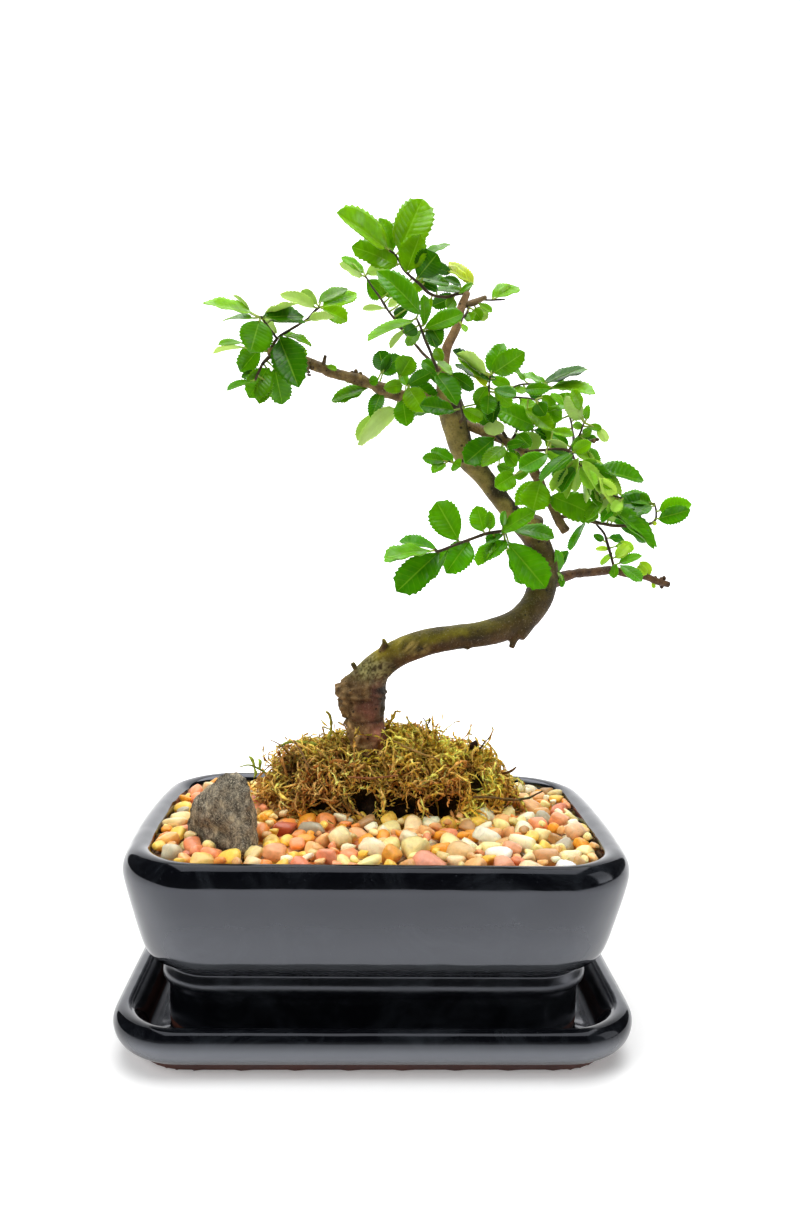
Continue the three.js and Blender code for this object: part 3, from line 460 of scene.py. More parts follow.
saucer = swept_shell("saucer_shell", SAUCER, SAUCER_PROFILE)
at = corners_of(saucer)
at[:, 2] += 0.35 * rise(at[:, 2], 9, 8) * uneven(at * (1, 1, 0), 50, 3)
set_corners(saucer, at)
saucer_glaze = glaze_finish("black_glaze_saucer", bare_below=0.0042, fade=0.0016, reflection_top=0.0175,
                            reflection_full=0.012, reflection_end=0.004, painted_reflection=0.6, rim=0.02)
dress(saucer, saucer_glaze, ["saucer"])

pot = swept_shell("pot_shell", POT, POT_PROFILE)
at = corners_of(pot)
lumps = np.stack([uneven(at, 46, 11), uneven(at, 46, 12), 0.7 * uneven(at, 52, 13)], 1)
set_corners(pot, at + 0.45 * lumps * rise(at[:, 2:3], 7, 12))
for side in (-1, 1):  # the two drain holes in its floor
    place = (side * 38 * MM, 0, 12 * MM)
    bpy.ops.mesh.primitive_cylinder_add(vertices=32, radius=6 * MM, depth=24 * MM, location=place)
    drill = bpy.context.object
    finish_modifier(pot, "BOOLEAN", operation="DIFFERENCE", object=drill, solver="EXACT")
    bpy.data.objects.remove(drill)
pot_glaze = glaze_finish("black_glaze_pot", bare_below=0.0088, fade=0.003, reflection_top=0.07,
                         reflection_full=0.042, reflection_end=0.038, painted_reflection=0.26, rim=0.08)
dress(pot, pot_glaze, ["pot"])

# %% [markdown]
# ## Soil and drain screens
# The soil and the two screens keep their solids, because only a little of the soil is seen, in
# the hollows under the moss. Potting soil is dark and crumbly, and the screens are black nylon.

# %% Soil and nylon finishes
def soil_finish():
    material, add, wire = new_finish("potting_soil", Roughness=0.95, Specular_IOR_Level=0.2)
    at = add("TexCoord")["Object"]
    crumb = add("TexVoronoi", Vector=at, Scale=420.0, Randomness=1.0)["Distance"]  # 2.4 mm crumbs
    fine = add("TexNoise", Vector=at, Scale=260.0, Detail=5.0)["Fac"]
    colour = add("ValToRGB", stops=[(0.3, "#120d09"), (0.55, "#2b2018"), (0.8, "#4b3a2a")], Fac=fine)[0]
    wire(Base_Color=colour, Normal=add("Bump", Strength=0.9, Distance=0.0012, Height=crumb)["Normal"])
    return material


def nylon_finish():
    material, add, wire = new_finish("black_nylon_mesh", Roughness=0.45, IOR=1.53)
    drawn = add("TexNoise", Vector=add("TexCoord")["Object"], Scale=500.0, Detail=2.0)["Fac"]
    wire(Base_Color=add("ValToRGB", stops=[(0.3, "#0f1010"), (0.7, "#232524")], Fac=drawn)[0])
    return material


def coat_solid(name, material):
    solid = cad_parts[name]
    solid.data.materials.clear()
    solid.data.materials.append(material)
    print(name, "keeps its solid, in", material.name)


coat_solid("soil", soil_finish())
screen_nylon = nylon_finish()
coat_solid("drain_screen_left", screen_nylon)
coat_solid("drain_screen_right", screen_nylon)

# %% [markdown]
# ## Slate stone
# The stone is a broken piece of dark slate, 35 mm across and set about 40 mm deep in the
# gravel. It starts as the same stacked outlines as its solid, and each outline is a little
# jagged and falls to the right. A voxel remesh gives it even faces, and three sizes of
# unevenness break them: chipped planes, lumps and grit.

# %% Slate stone
ROCK = [  # height, then seven corners of its outline
    (66.4, ((-54, -43), (-47.5, -37), (-48, -27), (-55, -17), (-68, -12), (-75.5, -18), (-67, -29))),
    (79, ((-52, -45), (-47, -38), (-47.8, -27), (-55.5, -15.5), (-71, -10.5), (-79.4, -18), (-69.4, -29.4))),
    (88, ((-53.4, -43), (-48.4, -38), (-49.2, -26), (-57, -16.6), (-68, -13.6), (-75.4, -22),
          (-68.4, -32.4))),
    (97, ((-54.4, -41), (-49.6, -38), (-50.4, -28), (-57.2, -20.6), (-65.4, -20), (-70, -27),
          (-65.4, -34.6))),
    (103, ((-54.8, -39.2), (-50, -37.4), (-50.8, -30.4), (-56, -26), (-61, -26.4), (-64.6, -31),
           (-61, -36.6))),
    (106.2, ((-55.4, -37.6), (-51.6, -36), (-52.6, -31.8), (-56.6, -29), (-59.8, -30), (-61.4, -33.2),
             (-58.8, -36))),
]


def rock_levels():
    levels = []
    for step, (height, places) in enumerate(ROCK):
        jag = [(1.2 if i % 2 else -1) - 0.14 * (x + 60) if step else 0 for i, (x, y) in enumerate(places)]
        levels.append([(x, y, height + lift) for (x, y), lift in zip(places, jag)])
    return levels


def slate_finish():
    material, add, wire = new_finish("rough_slate", Roughness=0.85, Specular_IOR_Level=0.35)
    at = add("TexCoord")["Object"]
    cloud = add("TexNoise", Vector=at, Scale=230.0, Detail=5.0, Roughness=0.65)["Fac"]  # 4 mm clouds
    stops = [(0.34, "#3c3832"), (0.46, "#6b6457"), (0.56, "#958a75"), (0.66, "#cbbd9c")]
    colour = add("ValToRGB", stops=stops, Fac=cloud)[0]
    grit = add("TexNoise", Vector=at, Scale=1250.0, Detail=4.0, Roughness=0.85)["Fac"]  # 0.8 mm grit
    for low, high, tone in ((0.52, 0.64, "#cfc3a8"), (0.44, 0.3, "#2b2924")):
        grain = add("MapRange", Value=grit, From_Min=low, From_Max=high)[0]
        colour = add("Mix", data_type="RGBA", i0=grain, i6=colour, i7=tone)["Result"]
    wire(Base_Color=colour, Normal=add("Bump", Strength=0.8, Distance=0.0006, Height=grit)["Normal"])
    return material


rock = stacked("slate_stone", sides=7, levels=rock_levels())
finish_modifier(rock, "REMESH", mode="VOXEL", voxel_size=0.75 * MM)
at, out = corners_of(rock), vectors_of(rock, "normal")
chips = np.abs(uneven(at, 13, 21)) * 2.2 - 1.7 + 0.9 * np.abs(uneven(at, 5, 22))
chips = chips + 0.4 * uneven(at, 2.4, 23) + 0.3 * uneven(at, 1.3, 24)
set_corners(rock, at + out * chips[:, None] * rise(at[:, 2:3], 68, 4))
dress(rock, slate_finish(), ["rock"])

# %% [markdown]
# ## Pea gravel
# River gravel is worn round and polished, from 4 to 12 mm long. Six pebbles are shaped from
# cubes that are rounded, lumped and cut by worn flats. Then they are copied by a rule: places are
# drawn with a seed, the largest first, and a place is kept if it is clear of the pot's wall, the
# stone, the moss and the pebbles already laid. Two layers are laid, so that gaps show more
# pebbles below, on a bed of fine grit.

# %% Six pebbles
def pebble_model(seed):
    bpy.ops.mesh.primitive_cube_add(size=2)
    model = bpy.context.object
    bpy.ops.object.mode_set(mode="EDIT")
    bpy.ops.mesh.select_all(action="SELECT")
    bpy.ops.mesh.subdivide(number_cuts=3)
    bpy.ops.transform.tosphere(value=1)
    bpy.ops.object.mode_set(mode="OBJECT")
    at = unit(vectors_of(model, "co"))
    at = np.sign(at) * np.abs(at) ** 0.86  # a little squarer than a ball
    at *= 1 + 0.17 * uneven(at + 7 * seed, 0.95, seed)[:, None]
    draw = stream(400 + seed)
    for _ in range(9):  # worn flats, where the stone broke before the river rounded it
        flat_way = draw.normal(size=3)
        flat_way /= np.linalg.norm(flat_way)
        above = np.clip(at @ flat_way - draw.uniform(0.56, 0.84), 0, None)
        at -= 0.85 * above[:, None] * flat_way
    faces = [list(face.vertices) for face in model.data.polygons]
    bpy.data.objects.remove(model)
    return at / np.abs(at).max(0), faces


pebble_models = [pebble_model(seed) for seed in (1, 2, 3, 4, 5, 6)]
print("pebble faces:", len(pebble_models[0][1]))

# %% Where pebbles lie
PEBBLE_COLOURS = {  # share of the pebbles at the left, in the middle and at the right
    "#fbe49a": (7, 17, 21), "#fdf2ca": (3, 8, 13), "#f7c855": (22, 17, 14), "#efa032": (22, 10, 6),
    "#f4b878": (8, 15, 14), "#ec9347": (16, 12, 6), "#f09a6a": (9, 6, 2), "#dc8458": (4, 2, 1),
    "#c4704a": (2, 1, 0.3), "#dba768": (8, 7, 7), "#b98f58": (6, 3, 3), "#aea488": (3, 2, 2),
    "#e6cf8a": (4, 8, 11), "#f7d8a4": (3, 8, 9),
}
WALL = 9.6  # how far the pot's inner wall stands in from its outline
ROCK_FOOT = [Vector(place) for place in ROCK[1][1]]
MOSS_X, MOSS_Y = 5, 26  # the middle of the moss cushion
KEPT_CLEAR = (53, 25)  # half length and half depth of the ground that the moss covers


def wall_distance(x, y):
    """How far a place lies inside the pot's wall."""
    width, depth = POT["width"] - 2 * WALL, POT["depth"] - 2 * WALL
    radius = POT["corner"] - CORNER_SHARE * WALL
    bow = (POT["bow"] - BOW_SHARE * WALL) * (1 - (2 * y / depth) ** 2)
    qx, qy = abs(x) - bow - (width / 2 - radius), abs(y) - (depth / 2 - radius)
    return radius - math.hypot(max(qx, 0), max(qy, 0)) - min(max(qx, qy), 0)


def rock_distance(x, y):
    """How far a place lies outside the stone's outline, less than 0 inside."""
    inside, best = False, 1e9
    for a, b in zip(ROCK_FOOT, ROCK_FOOT[1:] + ROCK_FOOT[:1]):
        d = b - a
        t = min(1, max(0, (Vector((x, y)) - a).dot(d) / d.length_squared))
        best = min(best, (Vector((x, y)) - a - d * t).length)
        if (a.y > y) != (b.y > y) and x < (b.x - a.x) * (y - a.y) / (b.y - a.y) + a.x:
            inside = not inside
    return -best if inside else best


def lay(tries, smallest, largest, clear, seed, known=()):
    """Places and radii of pebbles. clear is how near two may lie, as a share of their radii."""
    draw = stream(seed)
    laid = list(known)
    for r in np.sort(smallest + (largest - smallest) * draw.rand(tries) ** 2.1)[::-1]:
        x, y = draw.uniform(-96, 96), draw.uniform(-60, 60)
        if wall_distance(x, y) < r * 0.8 or rock_distance(x, y) < r * 0.75:
            continue
        if math.hypot((x - MOSS_X) / KEPT_CLEAR[0], (y - MOSS_Y) / KEPT_CLEAR[1]) < 1:
            continue
        if all((x - a) ** 2 + (y - b) ** 2 >= ((r + c) * clear) ** 2 for a, b, c in laid):
            laid.append((x, y, r))
    return laid[len(known):]

# %% [markdown]
# A few pebbles in front are large or stand out, so they are placed one by one: middle, half
# length, half width, half height, turn in degrees and colour.

# %% Chosen pebbles and the bed
CHOSEN = [
    (-38.5, -14.5, 78.6, 6.4, 4.4, 3.6, 25, "#cc6440"), (-27.5, -16, 78.8, 6.6, 3, 3, -20, "#b3a98c"),
    (19.5, -52.5, 78, 7.6, 6, 4.8, 5, "#ee9e7c"), (-2.5, -38, 79, 7, 3.6, 4.4, -32, "#f2e6bd"),
    (-19.5, -49, 79, 4.6, 4.2, 4.6, 0, "#ee9870"), (-15, -30, 79.4, 4.8, 4.2, 4.8, 30, "#ecd69b"),
    (12.6, -27, 79.6, 4.2, 3.6, 3.4, 10, "#efe0bb"), (14.5, -39, 79.2, 6.2, 4.8, 4.4, 35, "#eed98f"),
    (33, -41, 79, 6.4, 5, 4.2, -20, "#ecc887"), (44.5, -24.5, 79.6, 7.4, 3.6, 3.8, -35, "#f3ecd0"),
    (59, -30.5, 79.2, 6.6, 4, 3.8, -38, "#f4e6bb"), (47, -45, 78.8, 5.8, 3, 3.4, -40, "#f8f1dc"),
    (53, -39.5, 79, 5.4, 4.6, 4.4, 20, "#dd9a70"), (47.5, -54, 78, 4.4, 3.8, 3.6, 15, "#e4a07a"),
    (58.5, -56.5, 77.6, 6.4, 4.2, 3.6, 5, "#e6cba0"), (71, -55.5, 78, 5.2, 3.2, 3.4, -35, "#fbf6ec"),
    (66, -45, 78.8, 6.2, 4.4, 4, -10, "#cf9a68"), (-40, -47, 79, 4.6, 4.4, 4.4, 0, "#e3a06c"),
    (5.2, -46.5, 79.2, 4.4, 4.6, 4.6, 0, "#e8a545"), (-66.5, -52, 77.6, 5.4, 4, 3.6, 10, "#efc46e"),
    (-29, -55, 77.8, 4.8, 4, 3.6, 10, "#e88e68"), (-80, -44, 78.4, 4.6, 4.2, 4, 0, "#c9bd9c"),
    (-84, -30, 78.6, 5, 4, 3.8, 60, "#eab15c"), (83, -18, 79, 5.6, 4.4, 4, 40, "#eab888"),
    (80, -1, 79, 5.4, 4.2, 4, 10, "#e8a470"), (-72, 1, 79, 5, 4, 4, 30, "#ecc46a"),
]
UPPER_TOP, LOWER_TOP = 78.6, 74.6  # how high the tops of the two layers lie
bed_draw = stream(77)
laid_first = [(x, y, 0.5 * (a + b)) for x, y, z, a, b, *_ in CHOSEN]
upper = lay(tries=7500, smallest=1.8, largest=4.8, clear=0.84, seed=5, known=laid_first)
lower = lay(tries=3000, smallest=2.6, largest=5, clear=0.9, seed=6)
print("pebbles:", len(upper) + len(lower) + len(CHOSEN))
rows = []
for (x, y, r), level_top in [(p, UPPER_TOP) for p in upper] + [(p, LOWER_TOP) for p in lower]:
    weights = np.array([np.interp((x + 90) / 180, (0.1, 0.5, 0.9), w) for w in PEBBLE_COLOURS.values()])
    colour = list(PEBBLE_COLOURS)[bed_draw.choice(len(weights), p=weights / weights.sum())]
    long = r * bed_draw.uniform(1.0, 1.32)
    wide = r * r * 1.02 / long * bed_draw.uniform(0.92, 1.08)
    high = min(long, wide) * bed_draw.uniform(0.72, 0.98)
    top = level_top + 1.5 * bed_draw.rand() - 0.16 * r
    turns = bed_draw.uniform(0, 360), colour, bed_draw.uniform(-28, 28), bed_draw.uniform(-28, 28)
    rows.append((x, y, top - high * 0.62, long, wide, high, *turns))
for x, y, z, *size_turn_colour in CHOSEN:
    rows.append((x, y, z - 0.9, *size_turn_colour, bed_draw.uniform(-10, 10), bed_draw.uniform(-10, 10)))

parts = []
for i, (x, y, z, a, b, c, around, colour, tip_x, tip_y) in enumerate(rows):
    model, model_faces = pebble_models[i % 6]
    turn_by = Matrix.Rotation(math.radians(around), 3, "Z")
    for angle, axis in ((tip_x, "X"), (tip_y, "Y")):
        turn_by = turn_by @ Matrix.Rotation(math.radians(angle), 3, axis)
    tint = np.array(linear(colour)[:3]) * (1 + 0.16 * (bed_draw.rand() - 0.5))
    # painted light: pebbles are made lighter towards the right, against the shade of the moss and the wall
    tint = tint * (1 + 0.07 * (bed_draw.rand(3) - 0.5)) * (1 + 0.12 * rise(x, 30, 40))
    parts.append((model * (a, b, c) @ np.array(turn_by).T + (x, y, z), model_faces,
                  np.tile(tint, (len(model), 1))))


def pebble_finish():
    material, add, wire = new_finish("polished_river_pebble", IOR=1.54, Subsurface_Weight=0.3,
                                     Subsurface_Scale=0.003, Subsurface_Radius=(1.0, 0.6, 0.4))
    at = add("TexCoord")["Object"]
    tone = add("Attribute", attribute_name="tone")["Color"]
    # 3 mm clouds
    vein = add("TexNoise", Vector=at, Scale=330.0, Detail=5.0, Roughness=0.65, Distortion=0.8)["Fac"]
    shade = add("MapRange", Value=vein, From_Min=0.25, From_Max=0.75, To_Min=0.76, To_Max=1.28)[0]
    colour = add("VectorMath", operation="SCALE", Vector=tone, Scale=shade)[0]
    fleck = add("TexNoise", Vector=at, Scale=1900.0, Detail=2.0)["Fac"]
    pit = add("MapRange", Value=fleck, From_Min=0.66, From_Max=0.76, To_Max=0.45)[0]
    wire(
        Base_Color=add("Mix", data_type="RGBA", i0=pit, i6=colour, i7="#7a5236")["Result"],
        Roughness=add("MapRange", Value=vein, To_Min=0.22, To_Max=0.48)[0],
        Normal=add("Bump", Strength=0.25, Distance=0.0004, Height=vein)["Normal"],
    )
    return material


def grit_finish():
    material, add, wire = new_finish("fine_grit", Roughness=0.9)
    grain = add("TexVoronoi", Vector=add("TexCoord")["Object"], Scale=480.0)  # 2 mm grains
    stops = [(0.1, "#5e4027"), (0.5, "#8d6844"), (0.9, "#b89470")]
    wire(
        Base_Color=add("ValToRGB", stops=stops, Fac=grain["Color"])[0],
        Normal=add("Bump", Strength=1.0, Distance=0.001, Height=grain["Distance"])["Normal"],
    )
    return material


dress(joined("pebbles", parts), pebble_finish(), ["gravel"])
grit_bed = swept_shell("grit_bed", POT, [(9.7, 66.2, 0.5), (9.6, 68, 0.3), (9.6, 73, 0.6), (12, 74, 0.2)])
dress(grit_bed, grit_finish(), ["gravel"])

# %% [markdown]
# ## Moss
# The cushion is live sheet moss that was lifted and laid over the mound: thousands of feathery
# strands, 1 mm wide, tangled, green on top and straw-brown below. A dark lumpy core stands
# for what can't be seen between them. Each strand is a three-sided tube along a bent line, and
# every other ring is wide, so that it looks like overlapping small leaves.

# %% The cushion's form
MOSS_FOOT, MOSS_RISE = 71, 35.5  # height of the cushion's foot, and how high it rises over that
MOSS_HALF = (55, 26.5)  # half length and half depth
HOLLOWS = (  # middle x and z, half width, half height and depth
    (-5, 84, 5, 7, 1), (11, 82, 7.5, 5.5, 1), (29, 82, 6.5, 5.5, 1),
    (44, 91, 4.5, 4, 0.8), (-25, 82, 5, 4, 0.8), (-39, 95, 6, 8, 0.5),
)
TUFTS = (  # middle, size and height of each tuft, or of a dip
    (-43, 20, 104, 9, 4), (-20, 16, 112, 6, 3), (12, 20, 116, 9, 4), (40, 20, 106, 10, -3),
    (-6, 4, 106, 7, -6), (2, 8, 110, 5, 3), (-29, -4, 80, 9, 5), (4, -6, 80, 6, -2), (54, 14, 90, 7, 3),
)


def cushion(direction):
    """The cushion's surface, in millimetres, in each direction from its foot's middle."""
    level = np.hypot(direction[:, 0], direction[:, 1])
    lift = np.clip(direction[:, 2], 0, 1)
    wide = np.clip(1 - lift ** 3.2, 0, 1) ** 0.62
    around = direction[:, :2] / np.maximum(level, 1e-6)[:, None]
    x = MOSS_X + around[:, 0] * MOSS_HALF[0] * wide
    y = MOSS_Y + around[:, 1] * MOSS_HALF[1] * wide
    at = np.stack([x, y, MOSS_FOOT + MOSS_RISE * lift], 1)
    at[:, 2] += 3.2 * np.clip(at[:, 0] / 40, -0.6, 1) * lift  # the right side is fuller
    return at


def hollow(at):
    """1 in the dark hollows at the front foot of the cushion, 0 elsewhere."""
    deep = np.zeros(len(at))
    for x, z, rx, rz, depth in HOLLOWS:
        near = 1.7 - 1.5 * np.hypot((at[:, 0] - x) / rx, (at[:, 2] - z) / rz)
        deep = np.maximum(deep, depth * np.clip(near, 0, 1))
    return np.where(at[:, 1] < MOSS_Y - 6, deep, 0)


def swell(at):
    """How far the cushion stands out of its dome at a place, in millimetres."""
    tall = 3.0 * uneven(at, 14, 35) + 2.6 * uneven(at, 6.5, 36)
    for x, y, z, size, height in TUFTS:
        tall += height * np.exp(-((at - (x, y, z)) ** 2).sum(1) / size ** 2)
    return tall


def level_of(at):
    """1 on the cushion's surface, less inside it and more outside."""
    level = np.hypot((at[:, 0] - MOSS_X) / MOSS_HALF[0], (at[:, 1] - MOSS_Y) / MOSS_HALF[1])
    return level ** 1.6 + np.clip((at[:, 2] - MOSS_FOOT) / 37, 0, None) ** 3.2 - 0.045 * swell(at)


def away_from(at, height):
    """The way out of the cushion at each place, seen from its middle at a height."""
    return unit((at - (MOSS_X, MOSS_Y, height)) / (*MOSS_HALF, 38))

# %% Moss core
def moss_finish(name, rough=0.72):
    material, add, wire = new_finish(name, Roughness=rough, Specular_IOR_Level=0.12,
                                     Subsurface_Weight=0.12, Subsurface_Scale=0.0012)
    tone = add("Attribute", attribute_name="tone")["Color"]
    # 1.5 mm leaflets
    fine = add("TexNoise", Vector=add("TexCoord")["Object"], Scale=650.0, Detail=3.0)["Fac"]
    shade = add("MapRange", Value=fine, From_Min=0.3, From_Max=0.7, To_Min=0.62, To_Max=1.3)[0]
    wire(
        Base_Color=add("VectorMath", operation="SCALE", Vector=tone, Scale=shade)[0],
        Normal=add("Bump", Strength=0.6, Distance=0.0004, Height=fine)["Normal"],
    )
    return material


bpy.ops.mesh.primitive_uv_sphere_add(segments=72, ring_count=40, radius=1)
core = bpy.context.object
core.name = "moss_core"
dome = vectors_of(core, "co")
at = cushion(dome)
at[:, 2] = np.where(dome[:, 2] < 0, MOSS_FOOT - 2, at[:, 2])
lumps = 0.6 * swell(at) + 1.0 * uneven(at, 4.5, 32) + 0.5 * uneven(at, 1.8, 33)
at += unit(at - (MOSS_X, MOSS_Y, MOSS_FOOT + 5)) * (lumps - 2.4 - 6 * hollow(at))[:, None]
set_corners(core, at)
# painted light and shade: the core is lighter towards its top and darker in the hollows at its front foot
lit = np.clip(0.5 + 0.5 * uneven(at, 5, 34) + (at[:, 2] - 92) / 40, 0, 1)
paint(core, "tone", mixed("#20160c", "#5c4a1c", lit) * (1 - 0.75 * hollow(at))[:, None])
dress(core, moss_finish("moss_litter_and_shade", rough=0.9), ["moss"])

# %% [markdown]
# Strands of sheet moss creep: each one turns all along its length, keeps close to the strands
# below it and lies across its neighbours. A share of them let go of the cushion and stand
# free as tufts. A strand is green towards the light and its tip, and straw and brown below
# and at the left. It is painted darker deep inside the cushion, as shade, and lighter and
# warmer towards the right, as light.

# %% Strands of moss
POINTS = 9  # along one strand
FLOOR, CEILING, BACK = 74, 121, 59.5  # where strands are held back from the pot, and from the leaves


def wander(root, heading, length, turning, free, draw):
    """The points of each strand. free is 0 for a strand that hugs the cushion, 1 for a loose one."""
    axis = unit(np.cross(heading, draw.normal(size=(len(root), 3))))
    way, points = unit(heading), [root]
    for _ in range(POINTS - 1):
        at = points[-1] + way * (length / (POINTS - 1))[:, None]
        points.append(at)
        pull = 2.6 * np.clip(1.05 - level_of(at), -0.3, 0.3) * (1 - free)
        turned = way + np.cross(axis, way) * (turning / (POINTS - 1))[:, None]
        way = turned + 0.22 * draw.normal(size=way.shape) + away_from(at, 62) * pull[:, None]
        way[:, 2] -= 0.05 * (1 - 1.4 * free)
        way = unit(way)
    return np.stack(points, 1)


def strand_paths(count, draw, shortest, longest, loose):
    """Rows of points that creep over the cushion and lie across each other."""
    azimuth = draw.uniform(0, 2 * math.pi, count)
    lift = draw.rand(count) ** 0.85
    level = np.sqrt(1 - lift ** 2)
    root = cushion(np.stack([np.cos(azimuth) * level, np.sin(azimuth) * level, lift], 1))
    away = away_from(root, 60)
    keep = draw.rand(count) > 0.9 * hollow(root)
    keep &= np.hypot(root[:, 0] + 1.8, root[:, 1] - 20) > 8.5  # the trunk's foot stays clear
    root, away = root[keep], away[keep]
    root += away * (0.9 * swell(root) - 2.0)[:, None]
    count = len(root)
    side = unit(np.cross(away, draw.normal(size=(count, 3))))
    free = (draw.rand(count) < loose * (0.5 + 1.2 * (root[:, 2] > 98))).astype(float)
    length = (shortest + (longest - shortest) * draw.rand(count) ** 1.3) * (1 - 0.1 * free)
    turning = draw.uniform(1.4, 4.6, count) * (1 - 0.3 * free)
    path = wander(root, side + away * (0.25 + 1.1 * free)[:, None], length, turning, free, draw)
    deepest = np.max([hollow(path[:, k]) for k in (1, 3, 5, 7, 8)], axis=0)
    path = path[draw.rand(count) > 0.97 * np.clip(1.6 * deepest, 0, 1)]
    path[:, :, 2] = np.clip(path[:, :, 2], FLOOR + 2.5 * draw.rand(len(path))[:, None], CEILING)
    path[:, :, 1] = np.clip(path[:, :, 1], -11, BACK)
    path[:, :, 2] = np.maximum(path[:, :, 2], np.interp(path[:, :, 1], (-6, -3), (77.2, FLOOR)))
    return path


def strand_mesh(name, path, thick, draw):
    along = unit(np.gradient(path, axis=1))
    one = unit(np.cross(along, np.array((0.31, 0.52, 0.79))))
    two = np.cross(along, one)
    taper = np.array([0.8, 1.05, 0.62, 1.1, 0.6, 1.05, 0.55, 0.8, 0.15]) * thick
    width = taper[None, :] * (0.7 + 0.6 * draw.rand(len(path)))[:, None]
    rings = []
    for k in range(3):
        a = 2 * math.pi * k / 3 + np.arange(POINTS) * 0.9 + draw.uniform(0, 6, len(path))[:, None]
        rings.append(path + width[:, :, None] * (np.cos(a)[:, :, None] * one + np.sin(a)[:, :, None] * two))
    one_strand = [(3 * i + k, 3 * i + (k + 1) % 3, 3 * i + 3 + (k + 1) % 3, 3 * i + 3 + k)
                  for i in range(POINTS - 1) for k in range(3)]
    ends = [(2, 1, 0), (3 * POINTS - 3, 3 * POINTS - 2, 3 * POINTS - 1)]
    first = 3 * POINTS * np.arange(len(path))[:, None, None]
    faces = [(np.array(part) + first).reshape(-1, len(part[0])).tolist() for part in (one_strand, ends)]
    return mesh_piece(name, np.stack(rings, 2).reshape(-1, 3), faces[0] + faces[1])


def strand_tones(path, draw):
    shape, spots, x = path.shape[:2], path.reshape(-1, 3), path[:, :, 0]
    height = (path[:, :, 2] - 80) / 34
    patch = uneven(spots, 15, 37).reshape(shape)
    tip = np.linspace(0, 1, POINTS)[None]
    green = 0.12 + 0.5 * height + 0.5 * patch + 0.3 * (tip - 0.4)
    green = green + 0.3 * draw.normal(size=len(path))[:, None]
    green = np.clip(green + 0.26 * x / 50, 0, 1)
    brown = mixed("#97602a", "#f8cc86", draw.rand(len(path)))[:, None]
    leaf = mixed("#a8952a", "#eee070", draw.rand(len(path)))[:, None]
    tone = brown + (leaf - brown) * green[:, :, None]
    # painted shade: strands are darker deep inside the cushion
    deep = np.clip(1.1 - level_of(spots), 0, 0.5).reshape(shape)
    shade = (0.85 + 0.32 * draw.rand(len(path)))[:, None] * (1 - 1.0 * deep) * (0.86 + 0.34 * tip)
    painted_light_right = rise(x, 2, 30)[..., None] * (0.34, 0.18, 0.12)  # painted light: lighter and warmer towards the right
    tone = tone * shade[:, :, None] * (1 + painted_light_right) * (1.13, 1.05, 0.88)
    clump = uneven(spots, 6.5, 36) + 0.6 * uneven(spots, 3.5, 38)
    return tone * np.clip(1 + 0.55 * clump, 0.4, 1.5).reshape(*shape, 1)


def leaflets(name, path, tone, draw):
    """Small pointed leaves, 1 to 2 mm long, that stand off every other strand, nine to each."""
    chosen = draw.rand(len(path)) < 0.5
    path, tone = path[chosen], tone[chosen]
    size = (len(path), 9)
    run = draw.uniform(0.2, 7.9, size)
    low, part = run.astype(int), (run % 1)[..., None]
    row = np.arange(len(path))[:, None]
    base = path[row, low] * (1 - part) + path[row, low + 1] * part
    along = unit(path[row, low + 1] - path[row, low])
    out = unit(np.cross(along, draw.normal(size=along.shape)))
    length = draw.uniform(0.9, 2.1, (*size, 1))
    side = unit(np.cross(along, out)) * 0.32
    back, tip = base + 0.35 * out + 0.4 * length * along, base + length * unit(0.75 * along + out)
    corners = np.stack([base - side, base + side, back, tip], 2).reshape(-1, 3)
    one = np.array([(0, 1, 3), (1, 2, 3), (2, 0, 3), (0, 2, 1)])
    faces = (one[None] + 4 * np.arange(len(corners) // 4)[:, None, None]).reshape(-1, 3)
    piece = mesh_piece(name, corners, faces.tolist())
    tint = tone[row, low] * draw.uniform(0.8, 1.15, (*size, 1))
    paint(piece, "tone", np.repeat(tint.reshape(-1, 3), 4, axis=0))
    return piece


moss_leafy = moss_finish("sheet_moss")
for name, count, seed, lengths, thick, loose in (
        ("strands", 3500, 41, (11, 27), 0.7, 0.13), ("tufts", 3600, 42, (4, 13), 0.42, 0.3)):
    draw = stream(seed)
    path = strand_paths(count, draw, *lengths, loose)
    piece = strand_mesh("moss_" + name, path, thick, draw)
    tone = strand_tones(path, draw)
    paint(piece, "tone", np.repeat(tone.reshape(-1, 3), 3, axis=0))
    dress(piece, moss_leafy, ["moss"])
    dress(leaflets("leaflets_of_" + name, path, tone, stream(seed + 10)), moss_leafy, ["moss"],
          smooth=False)

# %% [markdown]
# ## Trunk and bark
# The tree is drawn as it is seen from in front: a place on the trunk's upright plane, and a
# depth along the line of sight. The trunk follows a path of such places, each with its radius.
# Real bark has no seams where an old stub leaves the trunk, so the tubes are joined and a
# voxel remesh grows them into one skin. Then lumps, ring cracks and scales are raised on it.

# %% From the tree's own places to millimetres
TREE_Y = 20.0  # where the trunk's upright plane stands
DEEP = 1.6  # millimetres for each step of depth


def seen(u, v, depth=0.0):
    reach = TREE_Y - EYE[1]
    return EYE + (np.array((u, TREE_Y, v)) - EYE) * (reach + depth) / reach


def smooth_path(rows, step):
    """Points and radii every step millimetres along a smooth curve through a path's rows."""
    knots = np.array([[*seen(u, v, DEEP * d), r] for u, v, d, r in rows])
    ends = np.vstack([2 * knots[0] - knots[1], knots, 2 * knots[-1] - knots[-2]])
    made = []
    for p0, p1, p2, p3 in zip(ends, ends[1:], ends[2:], ends[3:]):
        n = max(1, int(np.ceil(np.linalg.norm((p2 - p1)[:3]) / step)))
        t = np.arange(n)[:, None] / n
        made.append(0.5 * (2 * p1 + (p2 - p0) * t + (2 * p0 - 5 * p1 + 4 * p2 - p3) * t ** 2
                           + (3 * p1 - p0 - 3 * p2 + p3) * t ** 3))
    made = np.vstack(made + [knots[-1:]])
    return made[:, :3], np.maximum(made[:, 3], 0.2)


